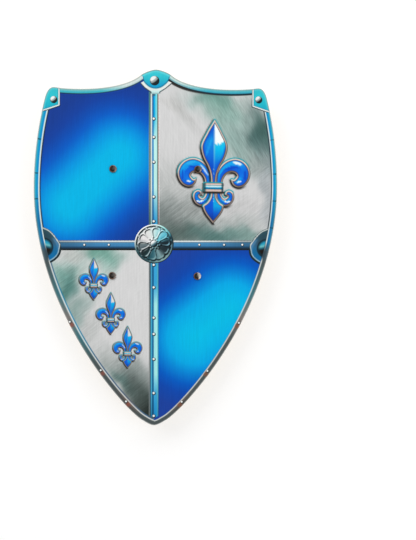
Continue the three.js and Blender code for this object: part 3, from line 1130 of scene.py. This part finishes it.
fleurs = {
    "large": {"at": (75.4, 76.4), "scale": 1.0, "slim": 1.0, "lean": -1.0, "step": 0.6, "grid": 1.6,
              "levels": (-1.6, -1.1, -0.6, -0.15, 0.15, 0.7, 1.3, 1.8, 2.1, 2.5, 3.1, 4.2, 5.6)},
    "small": {"at": [(-76.1, -48.0), (-54.6, -91.5), (-33.4, -134.1)], "scale": 0.405, "slim": 0.86,
              "lean": -0.5, "step": 0.42, "grid": 1.0,
              "levels": (-0.9, -0.45, -0.1, 0.1, 0.4, 0.7, 1.0, 1.5, 2.2)},
}


def mirrored(points):
    return np.array([(-x, y) for x, y in reversed(points)], float)


def fleurParts(slim):
    centre = smoothLine(np.array(fleur["centre"]) * (slim, 1), 0.6)
    centre = np.vstack([mirrored(centre), centre[1:]])
    foot = smoothLine(fleur["foot"], 0.6)
    foot = np.vstack([foot, mirrored(foot)[1:]])
    width, low, high = fleur["collar"]
    collar = np.array([(-width, low), (width, low), (width, high), (-width, high)], float)
    leaf = smoothLine(fleur["leaf"], 0.6)
    scroll = smoothLine(fleur["scroll"], 0.6)
    parts = {"leafRight": leaf, "leafLeft": mirrored(leaf), "scrollRight": scroll,
             "scrollLeft": mirrored(scroll), "foot": foot, "centre": centre, "collar": collar}
    return {name: counterClockwise(evenly(refined(loop, 0.6), 0.6, closed=True))
            for name, loop in parts.items()}


def ellipse(x, y, middle, half, turn):
    c, s = math.cos(math.radians(turn)), math.sin(math.radians(turn))
    along = ((x - middle[0]) * c + (y - middle[1]) * s) / half[0]
    across = ((y - middle[1]) * c - (x - middle[0]) * s) / half[1]
    return 1 - ease(np.hypot(along, across), 0.7, 1.15)


# The enamel inside a petal's rim: x and y about the collar, depth from the petal's edge
def enamelInk(name, x, y, depth, facing):
    up = facing @ np.array([-0.35, 0.94])
    if name == "centre":
        left = rampInk(y, [(5, "0a58cc"), (25, "064cc0"), (42, "0a6cd4"), (58, "0b88dc"), (70, "0a62cc"),
                           (80, "0858c4")])
        left = mixInk(left, "1fb0ec", 0.45 * ellipse(x, y, (-7, 50), (1.6, 15), -18))
        left = mixInk(left, "0846c0", 0.8 * (1 - ease(depth, 2.4, 5.5)) * ease(-x, 0, 5))
        right = rampInk(y, [(5, "0a58cc"), (28, "0864d0"), (38, "0694dc"), (48, "04b4e4"), (62, "30c8e8")])
        right = mixInk(right, "0850c8", 0.8 * (1 - ease(depth, 2.4, 5.5)) * (1 - ease(y, 46, 56)))
        jag = 54 + 1.2 * np.sin(x * 1.5 + 0.6) - 0.5 * np.sin(x * 3.7) + 5 * ease(x, 7, 13)
        right = mixInk(right, "eef4f4", ease(y, jag - 1, jag + 1))
        ink = np.where((x > 0)[:, None], right, left)
        return mixInk(ink, "9cc4dc", 0.7 * np.exp(-((x + 0.2) / 0.5) ** 2) * ease(y, 4, 20))
    if name == "foot":
        left = rampInk(y, [(-44, "0c2c80"), (-32, "0a4cc0"), (-18, "0a5cd8"), (-5, "0848b0")])
        right = rampInk(y, [(-44, "0c3490"), (-34, "0858c4"), (-24, "0ca0dc"), (-10, "10a8e4"),
                            (-5, "0870c0")])
        ink = np.where((x > 0)[:, None], right, left)
        ridge = np.exp(-(x / 0.45) ** 2) * ease(-y, 6, 12) * (1 - ease(-y, 26, 34))
        return mixInk(ink, "b4dcec", 0.6 * ridge)
    side = 1 if name.endswith("Right") else -1
    ink = rampInk(up, [(-1, "0a5cd2"), (0, "0c6cda"), (0.6, "0c82e0"), (1, "1096e4")])
    ink = mixInk(ink, "12a8e4", 0.75 * ease(up, 0.1, 0.7) * np.exp(-((depth - 4) / 1.8) ** 2))
    ink = mixInk(ink, "0844bc", 0.6 * (1 - ease(depth, 2.4, 3.6)))
    if name.startswith("leaf"):
        light = ellipse(x, y, (29.5 * side, 30.5), (6.5, 1.9), -16 * side)
        if side < 0:
            light = 0.12 * light + 0.8 * ellipse(x, y, (-12, 21.5), (9.5, 1.1), -52)
        light = light + ellipse(x, y, (32 * side, 7), (3.2, 1.3), 12 * side)
        dark = ellipse(x, y, (22 * side, 24), (11, 1.2), 12 * side)
        dark = dark + ellipse(x, y, (39.5 * side, 15), (1.5, 7), 0)
        ink = mixInk(ink, "0838b4", 0.6 * dark)
    else:
        light = ellipse(x, y, (13.5 * side, -16.4), (5.4, 1.2), -38 * side)
        light = np.maximum(light, ellipse(x, y, (19 * side, -18.4), (3.0, 1.1), 18 * side))
    return mixInk(ink, "e8f2f4", np.clip(light, 0, 1) * 0.95)


def collarInk(x, y):
    width, low, high = fleur["collar"]
    ink = rampInk(y, [(low, "6c5c54"), (low + 0.8, "c4aca2"), (low + 2.6, "d8c4bc"),
                      (low + 3.2, "24404c"), (low + 4.2, "0a70a8"), (low + 5.6, "1cb4d4"),
                      (low + 6.6, "e8f2f2"), (low + 7.6, "9ce0e8"), (low + 8.2, "4c6c74"),
                      (low + 8.8, "dccac2"), (high - 0.6, "c8b0a6"), (high, "6c5c54")])
    ends = ease(np.abs(x), width - 3.4, width - 0.6)
    return mixInk(ink, "1c3c48", 0.8 * ends)


def fleurInk(x, y, loops, scale, lean, middle):
    u, v = toPrint(x, y)
    c, s = math.cos(math.radians(lean)), math.sin(math.radians(lean))
    du, dv = (u - middle[0]) / scale, (v - middle[1]) / scale
    places = np.stack([du * c + dv * s, dv * c - du * s], 1)
    ink, brushed = fieldInk(x, y)
    small = scale < 0.6
    for name, loop in loops.items():
        low, high = loop.min(0) - 3.5, loop.max(0) + 3.5
        near = ((places > low) & (places < high)).all(1)
        part = places[near]
        depth, edge = nearest(part, loop)
        depth = np.where(within(part, loop), depth, -depth)
        facing = -leftNormals(loop)[edge]
        up = facing @ np.array([-0.25, 0.97])
        under = ink[near]
        reach = fleur["halo"] * (1.3 if small else 1.0)
        glow = ease(up, 0.0, 0.45) * (1 - ease(-depth, reach * 0.55, reach)) * 0.9
        below = ease(-(facing @ np.array([0.78, 0.62])), -0.25, 0.55)
        shade = below * (1 - ease(-depth, reach * 0.6, reach * 1.8)) * 0.95
        edge = (1 - ease(-depth, 0.2, 0.8)) * 0.6
        outside = mixInk(under, fleur["shadow"], np.maximum(shade, edge))
        outside = mixInk(outside, fleur["rimCyan"], glow)
        if name == "collar":
            body = collarInk(part[:, 0], part[:, 1])
        else:
            body = enamelInk(name, part[:, 0], part[:, 1], depth, facing)
            if small:
                pale = ease(body.min(1), 0.5, 0.8)
                body = mixInk(body, "0c86dc", 0.2 * (1 - pale))
                body = mixInk(body, "d4ccc8", 0.7 * pale)
            tint = rampInk(up, [(-1, fleur["rimDark"]), (-0.3, fleur["rimMid"]), (0.5, fleur["rimLight"])])
            if small:
                tint = mixInk(tint, "6c6c64", 0.55)
            width = fleur["rimWidth"]
            line = mixInk(tint, "3c3430", ease(depth, width - 0.35, width) * 0.9)
            line = mixInk(line, "54463f", 0.8 * (1 - ease(depth, 0.1, 0.6)) * ease(-up, -0.7, 0.3))
            start = width + fleur["rimLine"]
            body = mixInk(line, body, ease(depth, start - 0.25, start + 0.2))
        ink[near] = mixInk(outside, body, ease(depth, -0.15, 0.15))
        brushed[near] = np.where(depth > 0, 0.04, brushed[near])
    return ink, brushed


# A rounded border round a whole fleur, and the rows of points along its petals
def fleurFilm(name, middle, settings):
    scale, lean = settings["scale"], settings["lean"]
    c, s = math.cos(math.radians(lean)), math.sin(math.radians(lean))

    def toBoard(points):
        points = np.asarray(points, float) * scale
        turned = np.stack([points[:, 0] * c - points[:, 1] * s, points[:, 0] * s + points[:, 1] * c], 1)
        return fromPrint(turned + np.array(middle))

    half = [(0, -52), (12, -41), (22, -31), (33, -21), (33, -7), (46, -2), (52, 12), (50, 29), (38, 41),
            (24, 44), (22, 60), (13, 76), (0, 92)]
    border = toBoard(smoothLine([*half, *[(-x, y) for x, y in half[-2:0:-1]]], 1.2 / scale, closed=True))
    loops = fleurParts(settings["slim"])
    rows = []
    for loop in loops.values():
        shape = toBoard(loop)
        for level in settings["levels"]:
            row = evenly(inset(shape, level), settings["step"], closed=True)
            depth, _ = nearest(row, shape)
            rows.append(row[np.abs(depth - abs(level)) < 0.04])
    low, high = border.min(0), border.max(0)
    grid = np.stack(np.meshgrid(np.arange(low[0], high[0], settings["grid"]),
                                np.arange(low[1], high[1], settings["grid"])), -1).reshape(-1, 2)
    inner = np.vstack([*rows, grid])
    inner = inner[within(inner, border)]
    depth, _ = nearest(inner, border)
    inner = thinned(inner[depth > 0.5], settings["step"] * 0.45)
    hole = [loop for loop in studHoles if within(loop[:1], border)[0]]
    film(name, [border, *hole],
         lambda spots: fleurInk(spots.x, spots.y, loops, scale, lean, middle), "plate",
         inner=clearOf(inner, hole))


def thinned(points, gap):
    cells = {}
    for i, cell in enumerate(map(tuple, np.floor(points / gap).astype(int))):
        cells.setdefault(cell, i)
    return points[sorted(cells.values())]


def clearOf(points, holes):
    for hole in holes:
        depth, _ = nearest(points, hole)
        points = points[(depth > 0.3) & ~within(points, hole)]
    return points


def makeFleurs():
    fleurFilm("fleur_large_print", fleurs["large"]["at"], fleurs["large"])
    for i, middle in enumerate(fleurs["small"]["at"]):
        fleurFilm(f"fleur_small_{i + 1}_print", middle, fleurs["small"])


makeFleurs()
print("fleurs printed")


# Turned parts: a profile turned about its axis by Geometry Nodes, put on every point of a mesh

def profileCurve(tree, node, values):
    curve = node.mapping.curves[0]
    places = np.linspace(0, 1, len(values))
    while len(curve.points) < len(values):
        curve.points.new(0.5, 0.5)
    for point, place, value in zip(curve.points, places, values):
        point.location = (place, value)
        point.handle_type = "VECTOR"
    node.mapping.update()


def addSocket(tree, name, kind, value=None, low=None):
    socket = tree.interface.new_socket(name, in_out="INPUT", socket_type=kind)
    if value is not None:
        socket.default_value = value
    if low is not None:
        socket.min_value = low
    return socket.identifier


# The profile's radii and heights are shares of the inputs Radius and Height
def turnedTree(name, radii, heights, material):
    tree = bpy.data.node_groups.new(name, "GeometryNodeTree")
    tree.interface.new_socket("Geometry", in_out="OUTPUT", socket_type="NodeSocketGeometry")
    ids = {"Places": addSocket(tree, "Places", "NodeSocketGeometry")}
    ids["Sides"] = addSocket(tree, "Sides", "NodeSocketInt", 32, 3)
    ids["Radius"] = addSocket(tree, "Radius", "NodeSocketFloat", 0.005, 0.0)
    ids["Height"] = addSocket(tree, "Height", "NodeSocketFloat", 0.001, 0.0)
    given = addNode(tree, "NodeGroupInput").outputs
    count = addNode(tree, "ShaderNodeMath", {"operation": "ADD"}, {0: given["Sides"], 1: 1.0})
    grid = addNode(tree, "GeometryNodeMeshGrid",
                   links={"Vertices X": len(radii), "Vertices Y": count.outputs[0]})
    place = addNode(tree, "GeometryNodeInputPosition").outputs[0]
    part = addNode(tree, "ShaderNodeSeparateXYZ", links={0: place}).outputs
    along = addNode(tree, "ShaderNodeMath", {"operation": "ADD"}, {0: part["X"], 1: 0.5}).outputs[0]
    angle = addNode(tree, "ShaderNodeMath", {"operation": "MULTIPLY"},
                    {0: part["Y"], 1: 2 * math.pi}).outputs[0]
    radiusShare = addNode(tree, "ShaderNodeFloatCurve", links={"Value": along})
    heightShare = addNode(tree, "ShaderNodeFloatCurve", links={"Value": along})
    profileCurve(tree, radiusShare, radii)
    profileCurve(tree, heightShare, heights)
    cosine = addNode(tree, "ShaderNodeMath", {"operation": "COSINE"}, {0: angle}).outputs[0]
    sine = addNode(tree, "ShaderNodeMath", {"operation": "SINE"}, {0: angle}).outputs[0]
    x = addNode(tree, "ShaderNodeMath", {"operation": "MULTIPLY"}, {0: radiusShare.outputs[0], 1: cosine})
    y = addNode(tree, "ShaderNodeMath", {"operation": "MULTIPLY"}, {0: radiusShare.outputs[0], 1: sine})
    local = addNode(tree, "ShaderNodeCombineXYZ",
                    links={"X": x.outputs[0], "Y": y.outputs[0], "Z": heightShare.outputs[0]}).outputs[0]
    size = addNode(tree, "ShaderNodeCombineXYZ",
                   links={"X": given["Radius"], "Y": given["Radius"], "Z": given["Height"]}).outputs[0]
    noted = addNode(tree, "GeometryNodeStoreNamedAttribute", {"data_type": "FLOAT_VECTOR"},
                    {"Geometry": grid.outputs["Mesh"], "Name": "local", "Value": local})
    scaled = addNode(tree, "ShaderNodeVectorMath", {"operation": "MULTIPLY"}, {0: local, 1: size})
    placed = addNode(tree, "GeometryNodeSetPosition",
                     links={"Geometry": noted.outputs[0], "Position": scaled.outputs[0]})
    joined = addNode(tree, "GeometryNodeMergeByDistance",
                     links={"Geometry": placed.outputs[0], "Distance": 0.000004})
    bend = addNode(tree, "GeometryNodeInputMeshEdgeAngle").outputs["Unsigned Angle"]
    sharp = addNode(tree, "FunctionNodeCompare", {"data_type": "FLOAT", "operation": "GREATER_THAN"},
                    {0: bend, 1: 0.7})
    smooth = addNode(tree, "GeometryNodeSetShadeSmooth", links={"Geometry": joined.outputs[0]})
    creased = addNode(tree, "GeometryNodeSetShadeSmooth", {"domain": "EDGE"},
                      {"Geometry": smooth.outputs[0], "Selection": sharp.outputs[0], "Shade Smooth": False})
    share = addNode(tree, "GeometryNodeInputNamedAttribute", {"data_type": "FLOAT"}, {"Name": "size"})
    spread = addNode(tree, "GeometryNodeInstanceOnPoints",
                     links={"Points": given["Places"], "Instance": creased.outputs[0],
                            "Scale": share.outputs["Attribute"]})
    real = addNode(tree, "GeometryNodeRealizeInstances", links={0: spread.outputs[0]})
    painted = addNode(tree, "GeometryNodeSetMaterial",
                      links={"Geometry": real.outputs[0], "Material": material})
    out = addNode(tree, "NodeGroupOutput", links={0: painted.outputs[0]})
    return tree, ids


def turnedPiece(name, tree, ids, places, sides, radius, height, slotName, nodes=(), sizes=None):
    points = bpy.data.meshes.new(name)
    points.from_pydata([tuple(place) for place in places], [], [])
    share = points.attributes.new("size", "FLOAT", "POINT")
    share.data.foreach_set("value", np.array(sizes if sizes is not None else [1.0] * len(places), np.float32))
    holder = bpy.data.objects.new(name + "_places", points)
    bpy.context.scene.collection.objects.link(holder)
    modifier = holder.modifiers.new("turned", "NODES")
    modifier.node_group = tree
    modifier[ids["Sides"]] = sides
    modifier[ids["Radius"]] = radius * mm
    modifier[ids["Height"]] = height * mm
    graph = bpy.context.evaluated_depsgraph_get()
    mesh = bpy.data.meshes.new_from_object(holder.evaluated_get(graph))
    bpy.data.objects.remove(holder)
    obj = bpy.data.objects.new(name, mesh)
    bpy.context.scene.collection.objects.link(obj)
    finishPiece(obj, slotName, *nodes)
    return obj


fasteners = {
    "sides": 40,
    # profiles from the outer end's middle round to the inner end's middle: radius, height in mm
    "stud": [(0, 0.5), (1.15, 0.5), (1.45, 0.42), (1.62, 0.14), (1.95, 0.0), (2.7, 0.06), (3.5, 0.3),
             (4.3, 0.8), (4.95, 1.4), (5.2, 1.8), (5.25, 2.0), (5.15, 2.2), (2.2, 2.2), (2.2, 11.3),
             (0, 11.3)],
    "cap": [(0, 0.7), (2.5, 0.7), (2.5, 0.0), (4.5, 0.0), (4.72, 0.22), (4.75, 0.6), (4.68, 0.98),
            (4.45, 1.22), (4.1, 1.3), (3.75, 1.22), (3.5, 1.02), (3.3, 0.88), (2.9, 0.86), (2.3, 0.98),
            (1.5, 1.1), (0.8, 1.14), (0.5, 1.12), (0, 1.08)],
}


# Zinc plating with a yellow-green passivated film: bright metal, a little warm and green.
def zincPlate():
    material, tree, surface = newMaterial("passivated zinc plate", roughness=0.26, metallic=1.0)
    place = addNode(tree, "ShaderNodeTexCoord").outputs["Object"]
    cloud = addNode(tree, "ShaderNodeTexNoise", links={"Vector": place, "Scale": 420.0, "Detail": 2.0})
    ink = addRamp(tree, cloud.outputs["Fac"], [(0.3, "b2b8a4"), (0.55, "c2c7b2"), (0.75, "d2d5c6")])
    tree.links.new(ink, surface.inputs["Base Color"])
    return material


# Gunmetal cap: dark brown metal, painted by radius with shade and reflection: near black in the recessed
# ring, brown on the raised rim and grey in the middle.
def gunmetal():
    material, tree, surface = newMaterial("browned gunmetal", roughness=0.38, metallic=0.7)
    local = addNode(tree, "ShaderNodeAttribute", {"attribute_name": "local"}).outputs["Vector"]
    part = addNode(tree, "ShaderNodeSeparateXYZ", links={0: local}).outputs
    flat = addNode(tree, "ShaderNodeCombineXYZ", links={"X": part["X"], "Y": part["Y"]})
    reach = addNode(tree, "ShaderNodeVectorMath", {"operation": "LENGTH"}, {0: flat.outputs[0]})
    # painted shade and reflection by radius: grey middle, near black recessed ring, brown raised rim
    ink = addRamp(tree, reach.outputs["Value"],
                  [(0.0, "5a5650"), (0.22, "38342f"), (0.45, "231f1d"), (0.68, "1c1816"), (0.8, "5c4434"),
                   (0.92, "6a4c3a"), (1.0, "3a2c24")])
    # painted highlight: the right side of each cap is lighter, most of all on the lower right cap
    toRight = addNode(tree, "ShaderNodeVectorMath", {"operation": "DOT_PRODUCT"},
                      {0: local, 1: (0.96, 0.28, 0)})
    side = addNode(tree, "ShaderNodeMapRange",
                   links={"Value": toRight.outputs["Value"], "From Min": 0.05, "From Max": 0.6,
                          "To Min": 0.0, "To Max": 1.0})
    place = addNode(tree, "ShaderNodeTexCoord").outputs["Object"]
    corner = addNode(tree, "ShaderNodeVectorMath", {"operation": "DOT_PRODUCT"}, {0: place, 1: (1, -1, 0)})
    highlightStrength = addNode(tree, "ShaderNodeMapRange",
                     links={"Value": corner.outputs["Value"], "From Min": 0.0, "From Max": 0.06,
                            "To Min": 0.22, "To Max": 1.0})
    share = addNode(tree, "ShaderNodeMath", {"operation": "MULTIPLY"},
                    {0: side.outputs[0], 1: highlightStrength.outputs[0]})
    # mix in the pale painted highlight on the right side
    mixed = addNode(tree, "ShaderNodeMix", {"data_type": "RGBA"},
                    {0: share.outputs[0], 6: ink, 7: colour("d6d0ca")})
    tree.links.new(mixed.outputs[2], surface.inputs["Base Color"])
    return material


# A painted rivet head: white where the light falls, dark below and round its edge.
def rivetPaint():
    material, tree, surface = newMaterial("pigment print of small rivets", roughness=0.42)
    surface.inputs["Specular IOR Level"].default_value = 0.1
    local = addNode(tree, "ShaderNodeAttribute", {"attribute_name": "local"}).outputs["Vector"]
    toLight = addNode(tree, "ShaderNodeVectorMath", {"operation": "DOT_PRODUCT"},
                      {0: local, 1: (-0.62, 0.75, 0)})
    shifted = addNode(tree, "ShaderNodeVectorMath", {"operation": "DISTANCE"},
                      {0: local, 1: (-0.14, 0.16, 1)})
    inside = addNode(tree, "ShaderNodeMapRange",
                     links={"Value": shifted.outputs["Value"], "From Min": 0.5, "From Max": 0.74,
                            "To Min": 1.0, "To Max": 0.0})
    lit = addNode(tree, "ShaderNodeMapRange",
                  links={"Value": toLight.outputs["Value"], "From Min": -0.62, "From Max": -0.3,
                         "To Min": 0.0, "To Max": 1.0})
    share = addNode(tree, "ShaderNodeMath", {"operation": "MULTIPLY"},
                    {0: inside.outputs[0], 1: lit.outputs[0]})
    mixed = addNode(tree, "ShaderNodeMix", {"data_type": "RGBA"},
                    {0: share.outputs[0], 6: colour("20282c"), 7: colour("eceeec")})
    tree.links.new(mixed.outputs[2], surface.inputs["Base Color"])
    return material


def shares(profile):
    radii, heights = np.array(profile, float).T
    return radii / radii.max(), heights / heights.max(), radii.max(), heights.max()


def makeFasteners():
    for kind, slotName, material in (("stud", "zinc_stud", zincPlate()), ("cap", "gunmetal_cap", gunmetal())):
        nodes = sorted(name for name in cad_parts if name.endswith("_" + kind))
        places = []
        for name in nodes:
            low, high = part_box(name)
            places.append(((low.x + high.x) / 2, (low.y + high.y) / 2, low.z))
        radii, heights, radius, height = shares(fasteners[kind][::-1] if kind == "stud" else fasteners[kind])
        tree, ids = turnedTree(kind + "_turned", radii, heights, material)
        turnedPiece(kind + "s_visual", tree, ids, places, fasteners["sides"], radius, height, slotName, nodes)


printedRivets = {"radius": 2.2, "rimSize": 0.85, "levelSize": 0.84, "sides": 20}


def makePrintedRivets():
    centre = fields["barHeight"]
    spots = [(-0.1, v) for v in bars["uprightRivets"]] + [(u, centre + 0.6) for u in bars["levelRivets"]]
    places = list(fromPrint(np.array(spots)))
    sizes = [1.0] * len(bars["uprightRivets"]) + [printedRivets["levelSize"]] * len(bars["levelRivets"])
    for x, y in rim["rivets"]:
        places += [np.array((-x, y)), np.array((x, y))]
        sizes += [printedRivets["rimSize"]] * 2
    low = boardTop * mm
    height = layers["dot"]
    radii = np.array([0, 1, 1, 0.66, 0.33, 0])
    heights = np.array([0, 0, 1, 1, 1, 1])
    tree, ids = turnedTree("rivet_disc", radii, heights, rivetPaint())
    turnedPiece("rivets_print", tree, ids, [(x * mm, y * mm, low) for x, y in places],
                printedRivets["sides"], printedRivets["radius"], height, "printed_face", sizes=sizes)


makeFasteners()
makePrintedRivets()
print("fasteners made")


# The straps: leather strips with rounded ends, bent into a bow between two flat pads

strap = {
    "thickness": 2.5, "crownHalf": 20, "padInner": 9, "edgeRound": 0.7, "end": 12.4, "dish": 0.5,
}


# Smooth black leather: a fine pebbled grain with a satin finish, its tone varying a little at random.
def blackLeather():
    material, tree, surface = newMaterial("black satin leather", roughness=0.46)
    place = addNode(tree, "ShaderNodeTexCoord").outputs["Object"]
    pebble = addNode(tree, "ShaderNodeTexVoronoi",
                     links={"Vector": place, "Scale": 1300.0, "Randomness": 1.0})
    wear = addNode(tree, "ShaderNodeTexNoise", links={"Vector": place, "Scale": 55.0, "Detail": 3.0})
    ink = addRamp(tree, wear.outputs["Fac"], [(0.3, "151617"), (0.55, "1b1c1c"), (0.75, "242521")])
    shade = addNode(tree, "ShaderNodeMapRange",
                    links={"Value": pebble.outputs["Distance"], "From Min": 0.1, "From Max": 0.75,
                           "To Min": 1.08, "To Max": 0.8})
    grained = addNode(tree, "ShaderNodeVectorMath", {"operation": "SCALE"},
                      {0: ink, "Scale": shade.outputs[0]})
    tree.links.new(grained.outputs[0], surface.inputs["Base Color"])
    roughness = addNode(tree, "ShaderNodeMapRange",
                        links={"Value": wear.outputs["Fac"], "From Min": 0.3, "From Max": 0.7,
                               "To Min": 0.4, "To Max": 0.54})
    tree.links.new(roughness.outputs[0], surface.inputs["Roughness"])
    bump = addNode(tree, "ShaderNodeBump", {"invert": True},
                   {"Strength": 0.3, "Distance": 0.0002, "Height": pebble.outputs["Distance"]})
    tree.links.new(bump.outputs[0], surface.inputs["Normal"])
    return material


leather = blackLeather()


# The bow's centre line from the crown's middle to an end, in the strap's side view: along, up
def bowLine(padStart, end, low, high):
    crown = strap["crownHalf"]
    reach = (padStart - crown) * 0.55
    t = np.linspace(0, 1, 60)[:, None]
    ends = [np.array(p, float) for p in ((crown, low), (crown + reach, low), (padStart - reach, high),
                                         (padStart, high))]
    curve = ((1 - t) ** 3 * ends[0] + 3 * (1 - t) ** 2 * t * ends[1]
             + 3 * (1 - t) * t ** 2 * ends[2] + t ** 3 * ends[3])
    line = np.vstack([[(0, low)], curve, [(end + 5, high)]])
    length = np.concatenate([[0], np.cumsum(np.linalg.norm(np.diff(line, axis=0), axis=1))])
    return line, length


def makeStrap(side):
    node = side + "_strap"
    low, high = [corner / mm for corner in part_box(node)]
    middle = (low + high) / 2
    studLow, studHigh = [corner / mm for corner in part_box(side + "_top_stud")]
    studAt = (studLow.y + studHigh.y) / 2 - middle.y
    width = high.x - low.x
    padStart = studAt - strap["padInner"]
    half = strap["thickness"] / 2
    line, length = bowLine(padStart, high.y - middle.y, low.z + half, high.z - half)
    atStud = np.interp(studAt, line[:, 0], length)
    straight = atStud + strap["end"] - width / 2
    angles = np.linspace(0, math.pi, 24)
    cap = np.stack([width / 2 * np.cos(angles), straight + width / 2 * np.sin(angles)], 1)
    border = refined(np.vstack([cap, -cap]), 1.6)
    hole = np.linspace(0, 2 * math.pi, 20, endpoint=False)
    ring = 2.5 * np.stack([np.cos(hole), -np.sin(hole)], 1)
    holes = [ring + (0, atStud), ring - (0, atStud)]
    body = slab([border, *holes], roundedRings(-half, half, strap["edgeRound"]), spacing=2.2)
    x, s = body.points.T
    along = np.interp(np.abs(s), length, line[:, 0]) * np.sign(s)
    up = np.interp(np.abs(s), length, line[:, 1])
    step = 0.2
    ahead = np.stack([np.interp(np.abs(s) + step, length, line[:, k]) for k in (0, 1)], 1)
    behind = np.stack([np.interp(np.abs(s) - step, length, line[:, k]) for k in (0, 1)], 1)
    behind[np.abs(s) < step, 0] = -ahead[np.abs(s) < step, 0]
    way = ahead - behind
    way /= np.linalg.norm(way, axis=1)[:, None]
    offset = body.heights
    y = along - offset * way[:, 1] * np.sign(s)
    z = up + offset * way[:, 0]
    gap = np.hypot(x, np.abs(s) - atStud)
    under = offset < 0
    dish = strap["dish"] * np.exp(-((gap - 5.4) / 1.6) ** 2) * np.where(gap > 5.3, 1, 0.9)
    z = np.where(under & (gap > 2.6), z + dish * 0.5, z)
    places = np.stack([x + middle.x, y + middle.y, z], 1)
    obj = meshObject(node + "_visual", places, body.faces, leather)
    for polygon in obj.data.polygons:
        polygon.use_smooth = True
    finishPiece(obj, "strap_leather", node)


makeStrap("arm")
makeStrap("hand")
print("straps made")
